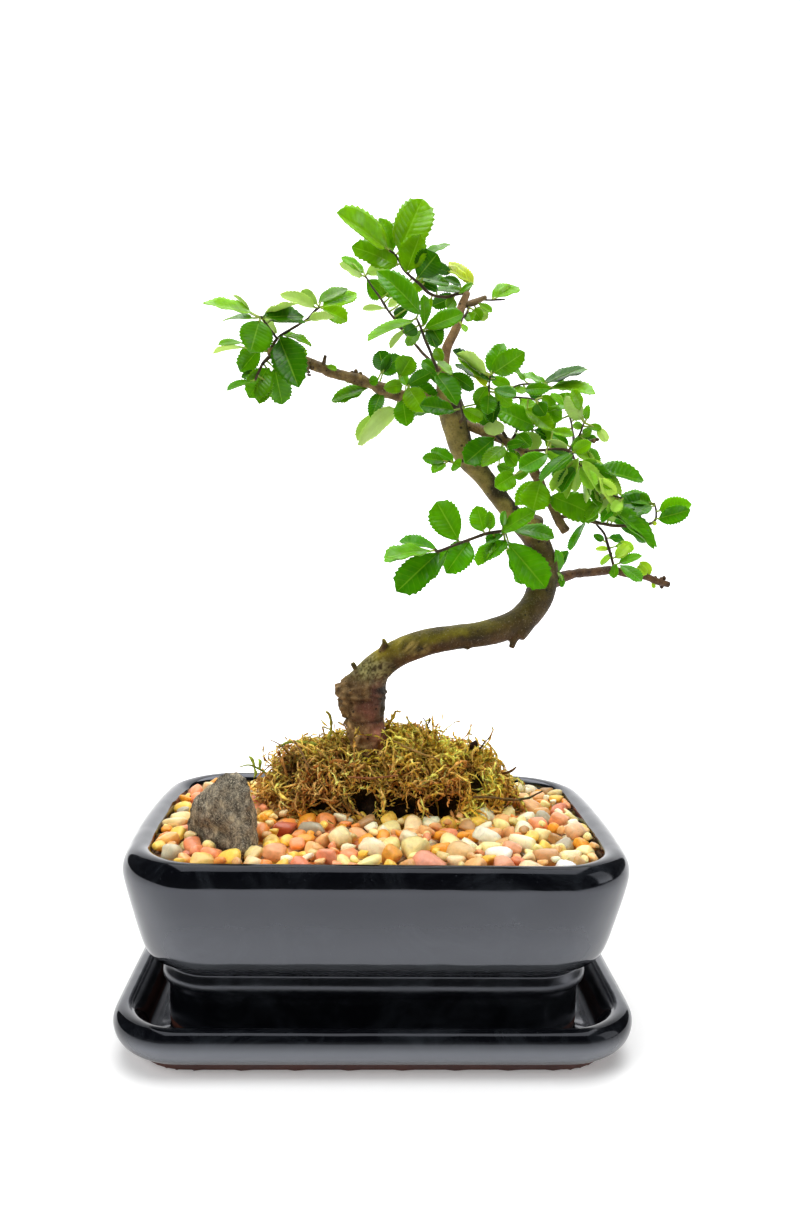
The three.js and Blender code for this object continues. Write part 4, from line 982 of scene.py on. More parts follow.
def ring_faces(rings, sides):
    """Faces between rings of corners, without the two ends."""
    return [[i * sides + k, i * sides + (k + 1) % sides, (i + 1) * sides + (k + 1) % sides,
             (i + 1) * sides + k]
            for i in range(rings - 1) for k in range(sides)]


def circle(middle, radius, side, other, sides):
    angle = 2 * math.pi * np.arange(sides)[:, None] / sides
    return middle + radius * (np.cos(angle) * side + np.sin(angle) * other)


def tube(points, radii, sides):
    """Corners and faces of rings square to a path, closed at both ends."""
    side = np.array((0.0, 1.0, 0.0))
    corners = []
    for p, r, a in zip(points, radii, unit(np.gradient(points, axis=0))):
        side = unit(side - side.dot(a) * a)
        corners.append(circle(p, r, side, np.cross(a, side), sides))
    ends = [list(reversed(range(sides))), [(len(points) - 1) * sides + k for k in range(sides)]]
    return np.vstack(corners), ring_faces(len(points), sides) + ends


TRUNK = [
    (-1.5, 74, 1, 10.6), (-1.4, 86, 0.5, 8.8), (-1.7, 97, 0, 7.6), (-3.2, 106, 0, 7.8),
    (-5.2, 114.5, 0, 8.8), (-6.5, 122, 0, 10.2), (-6.9, 128, 0, 10.8), (-5.4, 133, -0.5, 9.2),
    (-3, 138, -1, 7.2), (1.6, 143, -2, 6.5), (7, 147, -3, 6.3), (15, 150.6, -4.5, 6.1),
    (25, 153.8, -5.5, 5.7), (35, 155.4, -6, 5.5), (45, 156.6, -6, 5.6), (54.5, 159.4, -5, 5.9),
    (63, 163.4, -3.5, 6.2), (69, 169.6, -1.5, 6.4), (72, 177.5, 1, 6.6), (72.8, 187, 3, 6.3),
    (70, 197, 4, 5.8), (64.4, 204.4, 4, 5.2), (57.5, 211, 3.5, 4.5), (50.5, 219.6, 3, 4.2),
    (43.5, 228, 2, 4.5), (37.6, 234.6, 1, 5.2), (34, 240.6, 0.5, 5.6), (32, 247, 0, 5.8),
    (30, 254, 0, 6), (27.8, 261, 0, 5.2), (26.2, 267, 0, 3.8), (25.6, 273, 0, 2.6),
    (26.6, 282, 1, 2.2), (30.6, 291, 2, 2.1), (32.6, 300, 3, 1.9), (35.2, 306.4, 4, 1.5),
]
STUBS = [
    [(0, 146, -3, 1.9), (2.6, 152.4, -6, 1.2)], [(2.4, 151.6, -5.6, 1.2), (1.6, 154, -6, 0.8)],
    [(-7.5, 134, -2, 1.9), (-11, 141.2, -5, 1.1)], [(-11, 141, -5, 1.4), (-12, 143, -5, 1.1)],
    [(37, 154, -6, 2.4), (40.2, 149.6, -7.6, 1)], [(66.4, 202, 3, 4.2), (69.4, 209.6, 1, 3)],
    [(65.4, 163.4, -4, 5), (62, 155.8, -6, 3.5)], [(61, 156, -6, 2.2), (59.4, 150.8, -6.4, 1.2)],
]
tubes = [tube(*smooth_path(rows, step=1.2), sides=28 if rows is TRUNK else 14) for rows in [TRUNK] + STUBS]
trunk = joined("elm_trunk", tubes)
finish_modifier(trunk, "REMESH", mode="VOXEL", voxel_size=0.62 * MM)
finish_modifier(trunk, "SMOOTH", factor=0.5, iterations=3)
print("trunk corners:", len(trunk.data.vertices))


def along_path(at, rows):
    """How far along the path each point's nearest place is, in millimetres, and how far off it is."""
    points, radii = smooth_path(rows, step=1.0)
    run = np.concatenate([[0], np.cumsum(np.linalg.norm(np.diff(points, axis=0), axis=1))])
    way = unit(np.gradient(points, axis=0))
    place, off = np.zeros(len(at)), np.zeros(len(at))
    for start in range(0, len(at), 4000):
        part = slice(start, start + 4000)
        gaps = np.linalg.norm(at[part, None] - points[None], axis=2)
        best = gaps.argmin(1)
        place[part] = run[best] + ((at[part] - points[best]) * way[best]).sum(1)
        off[part] = gaps.min(1)
    return place, off

# %% [markdown]
# Elm bark is grey-brown and scaly. Low on this trunk it is redder, with cracks that run round
# it every 5 to 9 mm and pale lichen on the left. The level stretch of the bend carries
# green algae on its upper side, and the young leader at the top is smooth and reddish tan.

# %% Bark finish
def bark_finish(name, grain=1.0):
    """Grain is how much finer the bark is than on the trunk."""
    material, add, wire = new_finish(name, Specular_IOR_Level=0.3)
    at = add("TexCoord")["Object"]
    scaly = add("Attribute", attribute_name="scaly")["Fac"]
    tone = add("Attribute", attribute_name="tone")["Color"]
    cloud = add("TexNoise", Vector=at, Scale=300.0 * grain, Detail=6.0, Roughness=0.7)["Fac"]  # 3 mm scales
    shade = add("MapRange", Value=cloud, From_Min=0.3, From_Max=0.7, To_Min=0.6, To_Max=1.35)[0]
    colour = add("VectorMath", operation="SCALE", Vector=tone, Scale=shade)[0]
    speck = add("TexNoise", Vector=at, Scale=1300.0, Detail=3.0, Roughness=0.75)["Fac"]  # 0.8 mm specks
    pore = add("TexVoronoi", Vector=at, Scale=210.0 * grain)["Distance"]  # a pore every 5 mm
    for value, low, high, most, dot in (
            (speck, 0.58, 0.7, 0.5, "#a2947c"), (speck, 0.42, 0.3, 0.8, "#1d1712"),
            (pore, 0.16, 0.08, 0.85, "#1c1610")):
        spot = add("MapRange", Value=value, From_Min=low, From_Max=high, To_Max=most)[0]
        colour = add("Mix", data_type="RGBA", i0=spot, i6=colour, i7=dot)["Result"]
    scale = add("TexVoronoi", Vector=at, Scale=520.0 * grain, Randomness=1.0)["Distance"]
    relief = add("Math", operation="MULTIPLY_ADD", i0=scale, i1=0.6, i2=cloud)[0]
    lift = add("MapRange", Value=scaly, To_Min=0.4, To_Max=1.3)[0]
    relief = add("Math", operation="MULTIPLY", i0=relief, i1=lift)[0]
    wire(
        Base_Color=colour,
        Roughness=add("MapRange", Value=scaly, To_Min=0.55, To_Max=0.9)[0],
        Normal=add("Bump", Strength=0.75, Distance=0.0009, Height=relief)["Normal"],
    )
    return material

# %% Bark relief
COLLAR = 140  # height of the swollen collar's top, below which the bark is old
at, out = corners_of(trunk), vectors_of(trunk, "normal")
x, y, z = at.T
place, off = along_path(at, TRUNK)
thick = np.clip(off / 6, 0.2, 1.6)[:, None]
old = rise(z, COLLAR, -8)
young = rise(z, 262, 12)


def band(height, thickness):
    """1 at a height, and falling off above and below it."""
    return np.exp(-((z - height) / thickness) ** 2)


def spot(middle_x, middle_z, half_x, half_z):
    """1 at a place as seen from in front, and falling off around it."""
    return np.exp(-((x - middle_x) / half_x) ** 2 - ((z - middle_z) / half_z) ** 2)


drift = 1.2 * uneven(at * (0.2, 0.2, 1), 20, 52)
ring = np.abs(np.sin(math.pi * (place + 1.8 * uneven(at, 7, 51)) / 7.4 + drift))
crack = np.clip(1 - ring / 0.14, 0, 1) * np.clip(0.2 + 1.3 * uneven(at, 9, 53), 0, 1) * (0.12 + 0.7 * old)
deep_crack = band(117 + 1.1 * uneven(at, 8, 73), 0.55) + 0.7 * band(127.4 + 1.4 * uneven(at, 7, 74), 0.7)
crack = np.clip(crack + deep_crack * np.clip(0.8 + 0.7 * uneven(at, 6, 75), 0, 1), 0, 1)
wrinkle = uneven(at * (0.4, 0.4, 2.2), 3.2, 72) * band(131, 4.4)
left = np.clip(0.55 - out[:, 0] + 0.5 * uneven(at, 5, 65), 0, 1)
flaky = old * np.clip(left + np.clip((106 - z) / 8, 0, 0.8), 0, 1)
lump = 0.7 * uneven(at, 9, 54) + (0.2 + 0.2 * old) * uneven(at, 3.6, 55)
lump = lump + (0.14 + 0.3 * flaky) * uneven(at, 1.7, 56)
wave = 2 * uneven(at, 9, 66)
collar = 0.7 * band(131 + wave, 2.4) - 0.45 * band(126 + wave, 1.1)
lump = lump * (0.5 + 0.5 * old) * (1 - 0.6 * young) + collar * left * old + 0.9 * wrinkle
flakes = np.clip(uneven(at * (1, 1, 1.8), 2.2, 67) * 1.6, 0, 0.5) * flaky
set_corners(trunk, at + out * ((lump - 0.5 * crack + flakes)[:, None] * thick))
print("bark relief:", round(float(lump.min()), 1), "to", round(float(lump.max()), 1), "mm")

# %% [markdown]
# The bark's colour is laid on in coats, like washes of stain: grey wood first, then what the
# wet and the years have done to it, together with painted light and shade. A coat is a mix of
# two colours, with a mottle that says where each shows and a cover from 0 to 1 that says how
# thickly it lies.

# %% Bark colours
def mottle(size, seed, contrast=0.5):
    return 0.5 + contrast * uneven(at, size, seed)


def coat(base, low, high, mottled, cover):
    return base + (mixed(low, high, mottled) - base) * cover[:, None]


tone = mixed("#241b0e", "#584626", mottle(6, 57))
tone = coat(tone, "#3f281a", "#6e4c36", mottle(5, 68),
            0.6 * np.clip(-out[:, 2] + 0.1 + 0.6 * uneven(at, 9, 69), 0, 1))
purple = mixed("#4a2a20", "#93604f", mottle(4, 58))
shaded = np.clip(2.2 * out[:, 0] - 0.9, 0, 1) * rise(z, 114, 6)
purple = coat(purple, "#2c2316", "#544530", mottle(3, 76), shaded)
tone += (purple - tone) * (0.92 * old * np.clip(1.2 * (1 - left), 0, 1))[:, None]

algae = out[:, 2] * 1.7 + 0.15 + 0.5 * uneven(at, 9, 60) + 0.35 * uneven(at, 2.5, 77)
algae = np.clip(algae + 0.9 * spot(9, 152, 9, 7), 0, 1)
algae = algae * rise(z, 134, 6) * rise(z, 212, -24) * (1 - 0.6 * rise(x, 44, 10))
tone = coat(tone, "#423808", "#867e1e", mottle(5, 61), 0.85 * algae)
sunlit = spot(2, 149, 9, 11) * np.clip(0.5 + out[:, 2], 0, 1)
tone *= (1 + 1.1 * sunlit)[:, None]
front = np.clip(0.6 - out[:, 1], 0, 1)  # 1 where the bark faces the camera
lichen = np.clip(uneven(at, 4.5, 70) * 3 - 1.1, 0, 1) * (1 - old) * (1 - young) * front
tone = coat(tone, "#6b6440", "#a39a6c", mottle(1.5, 71), 0.3 * lichen)
crust = np.clip(1.6 - np.hypot((x + 3) / 7, (z - 140) / 6), 0, 1)
crust = crust * np.clip(0.7 - out[:, 1], 0, 1) * (1 - old)
tone = coat(tone, "#37331e", "#b3ae86", np.clip(mottle(0.8, 78, 1.5), 0, 1), 0.7 * crust)
scar = np.clip(1.5 - 1.3 * np.hypot((x - 14.5) / 7.5, (z - 151.8) / 4), 0, 1) * front
fibres = uneven(np.stack([0.45 * (x + z), y * 0.5, 2.2 * (z - x)], 1), 2.6, 79)
tone = coat(tone, "#33280f", "#b09a62", np.clip(0.4 + 1.8 * fibres, 0, 1), 0.85 * scar)
# painted light and shade: the collar's wrinkles are lighter on their ridges and darker in their grooves; the
# band of the collar is darker
tone *= ((1 + 0.9 * wrinkle) * (1 - 0.5 * band(130, 5.5)))[:, None]
tone *= 1 - np.array([(0.05, 0.08, 0.35)]) * (1 - old)[:, None] * (at[:, 2:3] < 200)

# painted light and shade: the upper trunk is lighter on its left side and darker on its right, under a
# mottle
pale = np.clip(0.5 + 0.9 * uneven(at, 5, 80) - 0.85 * out[:, 0], 0, 1)
tone = coat(tone, "#2a2310", "#9c8a4a", pale, 0.75 * rise(z, 198, 10))
tone = coat(tone, "#7e5a3a", "#b59064", mottle(4, 62), 0.85 * young)
tone = coat(tone, "#50391f", "#a08256", mottle(1.8, 64, 0.7),
            0.9 * flaky * np.clip(0.55 + 1.4 * flakes, 0, 1))
worn = spot(69, 200, 8, 10)  # rubbed pale at the upper bend
tone *= (1 - 0.8 * crack)[:, None] * (1 + 0.25 * old + 0.6 * worn)[:, None]
tone *= (1 + 0.6 * rise(z, 119, -5))[:, None]
paint(trunk, "tone", tone)
number(trunk, "scaly", np.clip(0.15 + 0.85 * flaky + 0.3 * old, 0, 1))
dress(trunk, bark_finish("elm_bark"), ["trunk"])

# %% [markdown]
# ## Shoots and leaves
# A Chinese elm's leaf is 10 to 25 mm long, with a saw edge of about ten blunt teeth a side and
# eight to ten pairs of veins pressed into its face. One blade is modelled from a grid that
# is given its thickness by Solidify. Each leaf is a copy of that blade, stretched, cupped and
# turned onto its own frame, with its own mesh.

# %% One blade
TEETH = 10
ROWS = 2 * TEETH + 2  # rows of faces along the blade
bpy.ops.mesh.primitive_grid_add(x_subdivisions=8, y_subdivisions=ROWS, size=2)
blade = bpy.context.object
finish_modifier(blade, "SOLIDIFY", thickness=1.0, offset=0.0)
blade_at = vectors_of(blade, "co")
blade_faces = [list(face.vertices) for face in blade.data.polygons]
bpy.data.objects.remove(blade)
across, share, layer = blade_at[:, 0], blade_at[:, 1] / 2 + 0.5, np.sign(blade_at[:, 2])
row_of = np.rint(share * ROWS).astype(int)
# half outlines as (share of the length, share of the half width): a plump blade, one that is
# widest past its middle, and a tapered one
PLUMP = ((0, 0.05), (0.05, 0.4), (0.12, 0.68), (0.22, 0.89), (0.36, 1.01), (0.52, 1.04), (0.66, 1),
         (0.78, 0.88), (0.87, 0.69), (0.94, 0.43), (0.98, 0.2), (1, 0.02))
OBOVATE = ((0, 0.05), (0.07, 0.26), (0.18, 0.56), (0.32, 0.82), (0.48, 0.98), (0.62, 1.04),
           (0.75, 0.98), (0.86, 0.78), (0.93, 0.5), (0.98, 0.22), (1, 0.02))
TAPER = ((0, 0.05), (0.045, 0.36), (0.12, 0.68), (0.22, 0.92), (0.34, 1.03), (0.46, 1.01),
         (0.6, 0.9), (0.74, 0.69), (0.86, 0.42), (0.94, 0.2), (1, 0.015))
tooth = np.where((row_of % 2 == 1) & (row_of < ROWS - 1), 1.0, 0.0)  # every other row is a tooth's point
edge_pull = np.abs(across) ** 3
print("blade faces:", len(blade_faces))

# %% Where a leaf stands
STALK = 1.8  # the least length of a leaf's stalk


def hashed(u, v, k):
    """A number from 0 to 1 that a leaf's own place decides."""
    s = math.sin(u * 12.9898 + v * 78.233 + k * 37.719) * 43758.5453
    return s - math.floor(s)


def nearest(paths, u, v):
    """The nearest place on a shoot's paths, and its depth in millimetres."""
    best = None
    for path in paths:
        for (ax, ay, ad, _), (bx, by, bd, _) in zip(path, path[1:]):
            dx, dy = bx - ax, by - ay
            t = min(1, max(0, ((u - ax) * dx + (v - ay) * dy) / (dx * dx + dy * dy)))
            pu, pv = ax + t * dx, ay + t * dy
            gap = math.hypot(u - pu, v - pv)
            if best is None or gap < best[0]:
                best = (gap, pu, pv, DEEP * (ad + t * (bd - ad)))
    return best[1:]


def leaf_frame(paths, row):
    """A leaf's root on its twig, its foot, its three ways, its length and its true width."""
    u0, v0, u1, v1, width, tone = row[:6]
    pu, pv, depth = nearest(paths, u0, v0)
    lean = math.hypot(u1 - u0, v1 - v0) * (0.12 + 0.42 * hashed(u0, v0, 2))
    lean = row[6] if len(row) > 6 else lean * (-1 if hashed(u0, v0, 1) < 0.5 else 1)
    lift = row[7] if len(row) > 7 else 2.4 * (hashed(u0, v0, 3) - 0.5)
    root, base, tip = seen(pu, pv, depth), seen(u0, v0, depth + lift), seen(u1, v1, depth + lift + lean)
    along = unit(tip - base)
    if np.linalg.norm(base - root) < STALK:
        base = root + STALK * along
        along = unit(tip - base)
    length = np.linalg.norm(tip - base)
    level_side = unit(np.cross(along, unit(EYE - base)))
    level_up = np.cross(level_side, along)
    real = max(width, 0.56 * length)
    roll_by = math.acos(min(1, max(0.1, width / real)))
    best = None
    for sign in (1, -1):
        c, s = math.cos(roll_by), math.sin(sign * roll_by)
        side, upward = level_side * c + level_up * s, level_up * c - level_side * s
        if tone == "p":  # a pale leaf shows its underside
            side, upward = -side, -upward
        if best is None or upward[2] > best[1][2]:
            best = (side, upward)
    return root, base, along, *best, length, real

# %% [markdown]
# The blade is folded a little along its midrib, arched along its length, and waved at its edge,
# each by an amount of the leaf's own. Its colour differs from leaf to leaf, and a corner knows
# whether it is on the upper or the lower face, because an elm leaf is paler below.

# %% One shoot's leaves
TONES = {
    "b": ("#3d7c03", "#76ac08"), "d": ("#194602", "#3c7a04"), "p": ("#80aa36", "#b2d862"),
    "l": ("#84b82a", "#bce052"), "y": ("#a6c41e", "#d4e03c"),
}
LONGER, WIDER = 1.16, 1.28  # how much larger a small leaf is than its row says
AWAY = (3, 3)  # a small leaf's lean and its place behind its twig, where its row gives none


def leaf_corners(base, along, side, upward, length, width, own):
    """The blade on a leaf's own frame. own gives the leaf's numbers from 0 to 1."""
    fold = 0.28 + 0.34 * (own(10) - 0.5)
    arch = 0.07 + 0.05 * (own(11) - 0.5)
    plump = min(1, 0.3 + 0.9 * own(30))
    fuller_outline = OBOVATE if own(33) > 0.45 else PLUMP
    half = plump * np.interp(share, *zip(*fuller_outline)) + (1 - plump) * np.interp(share, *zip(*TAPER))
    bite = np.interp(width, (4, 13), (1.6, 0.9))  # the teeth of small leaves are coarser
    fuller = 1 if own(31) < 0.5 else -1  # an elm's blade is lopsided at its foot
    saw = across * (1 + bite * edge_pull * (0.11 * tooth - 0.06))
    x = saw * half * (1 + 0.07 * fuller * np.sign(across)) * width / 2
    foot_drop = 0.045 * np.abs(across) * (fuller * across > 0) * (1 - share) ** 2
    up_blade = share + 0.026 * edge_pull * tooth * (share < 0.97) - foot_drop
    z = fold * (np.abs(x) - 0.4 * half * width / 2) + 0.7 * arch * length * np.sin(math.pi * up_blade)
    ripple = np.sin(2 * math.pi * (2.4 * up_blade + own(13)) + across)
    z += 0.07 * width * (own(12) - 0.15) * np.abs(across) ** 2 * ripple
    vein_swell = np.sin(math.pi * 9 * np.clip(up_blade - 0.13 * np.abs(across), 0, 1)) ** 2
    z += 0.01 * width * vein_swell * np.abs(across) * (1 - across ** 2)
    z += 0.12 * length * (own(14) - 0.6) * np.clip(up_blade - 0.6, 0, 1) ** 2 * 3  # the tip nods
    twist = 0.5 * (own(15) - 0.5) * up_blade
    x, z = x * np.cos(twist), z + x * np.sin(twist)
    z += layer * 0.16
    return base + x[:, None] * side + (up_blade * length)[:, None] * along + z[:, None] * upward


def enlarged(u0, v0, u1, v1, width, tone, *lean_lift):
    lean, lift = (*lean_lift, *AWAY[len(lean_lift):])
    return u0, v0, u0 + LONGER * (u1 - u0), v0 + LONGER * (v1 - v0), WIDER * width, tone, lean, lift


def leaf_parts(paths, row):
    """A leaf's blade and its stalk, each its corners, faces, tones, UV places and which side it is."""
    own = functools.partial(hashed, *row[:2])
    root, base, along, side, upward, length, width = leaf_frame(paths, row)
    mix = np.full(1, own(21))
    tint = mixed(*TONES[row[5]], mix)[0] * (0.85 + 0.4 * own(22))
    # lower leaves are a purer green
    tint = tint * (np.interp(row[1], (175, 240, 340), (0.66, 0.95, 1.12)), 1, 1)
    # painted light: the blade is lighter towards its edges, where light shines through from behind, and
    # towards its tip
    edge_light = 1 + 0.16 * (np.abs(across) - 0.5) + 0.12 * (share - 0.5)
    blade_uv = np.stack([across * 0.5 + 0.5, share], 1)
    corners = leaf_corners(base, along, side, upward, length, width, own)
    yield corners, blade_faces, tint[None] * edge_light[:, None], blade_uv, (layer < 0).astype(float)
    # the stalk is bent a little on its way from the twig into the midrib
    bend = 0.5 * (root + base) + 0.4 * unit(np.cross(along, (0.2, 1, 0.3))) * (own(23) - 0.3) - 0.25 * upward
    t = np.linspace(0, 1, 6)[:, None]
    line = (1 - t) ** 2 * root + 2 * t * (1 - t) * bend + t ** 2 * (base + along * 0.6 + 0.1 * upward)
    corners, faces = tube(line, np.linspace(0.5, 0.36, 6), sides=6)
    count = len(corners)
    yield (corners, faces, np.tile(mixed("#7f8a3c", "#a0a552", mix), (count, 1)),
           np.tile((0.5, 0.02), (count, 1)), np.zeros(count))


def leaves_piece(name, paths, leaves, more):
    rows = leaves + [enlarged(*row) for row in more]
    parts = [part for row in rows for part in leaf_parts(paths, row)]
    piece = joined(name, parts)
    number(piece, "under", np.concatenate([part[4] for part in parts]))
    uv = np.vstack([part[3] for part in parts])
    loops = np.zeros(len(piece.data.loops), np.int32)
    piece.data.loops.foreach_get("vertex_index", loops)
    piece.data.uv_layers.new(name="blade").data.foreach_set("uv", uv[loops].ravel())
    return piece

# %% [markdown]
# The leaf's finish reads the blade's UV map: u runs across from edge to edge and v from foot to
# tip. Side veins leave the midrib and climb outwards, so a vein is where v less a share of the
# distance from the midrib is a whole ninth of the length. The face is waxy and mirrors the
# light softly. The blade is thin, so some light goes through it.

# %% Elm leaf
def leaf_finish():
    material, add, wire = new_finish("elm_leaf", Subsurface_Weight=0.35, Subsurface_Scale=0.0018,
                                     Subsurface_Radius=(0.7, 1.0, 0.25))
    at = add("TexCoord")["Object"]
    tone = add("Attribute", attribute_name="tone")["Color"]
    under = add("Attribute", attribute_name="under")["Fac"]
    split = add("SeparateXYZ", Vector=add("UVMap", uv_map="blade")["UV"])
    off = add("Math", operation="SUBTRACT", i0=split["X"], i1=0.5)[0]
    off = add("Math", operation="ABSOLUTE", i0=off)[0]  # 0 at the midrib, 0.5 at the edge
    climb = add("Math", operation="MULTIPLY_ADD", i0=off, i1=-0.3, i2=split["Y"])[0]
    wave = add("Math", operation="MULTIPLY", i0=climb, i1=math.pi * 9.5)[0]
    for operation in ("SINE", "ABSOLUTE"):
        wave = add("Math", operation=operation, i0=wave)[0]
    vein = add("MapRange", interpolation_type="SMOOTHSTEP", Value=wave, From_Min=0.3, From_Max=0.0)[0]
    vein = add("Math", operation="MULTIPLY", i0=vein, i1=0.3)[0]
    midrib = add("MapRange", interpolation_type="SMOOTHSTEP", Value=off, From_Min=0.035, From_Max=0.008)[0]
    lines = add("Math", operation="MAXIMUM", i0=vein, i1=midrib)[0]
    lines = add("Math", operation="MULTIPLY", i0=lines, i1=0.32)[0]
    blotch = add("TexNoise", Vector=at, Scale=240.0, Detail=4.0)["Fac"]  # 4 mm patches
    shade = add("MapRange", Value=blotch, From_Min=0.3, From_Max=0.7, To_Min=0.82, To_Max=1.16)[0]
    colour = add("VectorMath", operation="SCALE", Vector=tone, Scale=shade)[0]
    veined = add("Mix", data_type="RGBA", i0=lines, i6=colour, i7="#a2ca40")["Result"]
    below = add("Mix", data_type="RGBA", i0=0.45, i6=veined, i7="#b9d084")["Result"]
    wax = add("TexNoise", Vector=at, Scale=130.0, Detail=2.0)["Fac"]  # 8 mm glossy parts
    swell_out = add("Math", operation="SUBTRACT", i0=wave, i1=midrib)[0]
    relief = add("Math", operation="MULTIPLY_ADD", i0=blotch, i1=0.5, i2=swell_out)[0]
    wire(
        Base_Color=add("Mix", data_type="RGBA", i0=under, i6=veined, i7=below)["Result"],
        Specular_IOR_Level=add("MapRange", Value=wax, From_Min=0.46, From_Max=0.64, To_Min=0.07,
                               To_Max=0.42)[0],
        Roughness=add("MapRange", Value=under, To_Min=0.25, To_Max=0.6)[0],
        Normal=add("Bump", Strength=0.19, Distance=0.0004, Height=relief)["Normal"],
    )
    return material

# %% [markdown]
# A shoot's wood is a chain of knotty tubes, one for each path. A bud or knot is a short fat tube
# across it. Old wood is buff and scaly, and wood thinner than 1.5 mm is young, smooth and dark.

# %% One shoot's wood
KNOT = ((-0.9, 0.5), (-0.4, 0.9), (0, 1), (0.5, 0.85), (0.9, 0.4))  # place along a knot, and radius
THICK = 1.4  # the radius over which a twig counts as a branch


def wood_part(rows, seed, order):
    points, radii = smooth_path(rows, step=0.9)
    points = points + 0.35 * uneven_ways(points, 6, (seed + order, seed + 20 + order, seed + 40 + order))
    swollen = 1 + 0.16 * uneven(points, 3.2, seed + 3) + 0.12 * uneven(points, 7, seed + 4)
    sides, radii = (14, radii) if rows[0][3] > THICK else (8, radii * 0.82)
    corners, faces = tube(points, radii * swollen, sides)
    radii = np.repeat(radii, sides)
    angle = np.tile(np.arange(sides) * 2 * math.pi / sides, len(points))
    ways = np.stack([np.cos(angle), np.zeros(len(angle)), np.sin(angle)], 1)
    corners += 0.1 * radii[:, None] * ways * uneven(corners, 1.6, seed + 5)[:, None]
    old_tone = mixed("#49351c", "#9f834e", 0.5 + 0.5 * uneven(corners, 2.6, seed + 6))
    young_tone = mixed("#271c10", "#4d3a24", 0.5 + 0.5 * uneven(corners, 3, seed + 7))
    return corners, faces, old_tone + (young_tone - old_tone) * rise(radii, 1.5, -0.9)[:, None]


def wood_piece(name, paths, knots, bark, seed):
    knots = [[(u + along, v, d, share_of * r) for along, share_of in KNOT] for u, v, d, r in knots]
    parts = [wood_part(rows, seed, order) for order, rows in enumerate(paths + knots)]
    return joined(name, [(corners, faces, tones * bark) for corners, faces, tones in parts])


elm_leaf = leaf_finish()
twig_bark = bark_finish("young_elm_bark", grain=1.6)


def grow(name, seed, paths, leaves, more, knots=(), bark=1):
    """Dress one shoot. bark is how light its bark is, or how light in red, green and blue."""
    dress(leaves_piece(name + "_leaves", paths, leaves, more), elm_leaf, [name])
    dress(wood_piece(name + "_wood", paths, knots, bark, seed), twig_bark, [name])

# %% [markdown]
# Each shoot is given by the paths of its twigs and by its leaves: base and tip as they are seen,
# width as it is seen, tone, and where known how far the tip leans to or from the eye and how far
# the leaf lies before or behind its twig. A leaf's own place on the tree decides what isn't
# given, by the same rule as in the solids. Tone b is bright green, d dark and glossy, p the pale
# underside, l light and y a young leaf. More are the small leaves that the solids leave out.

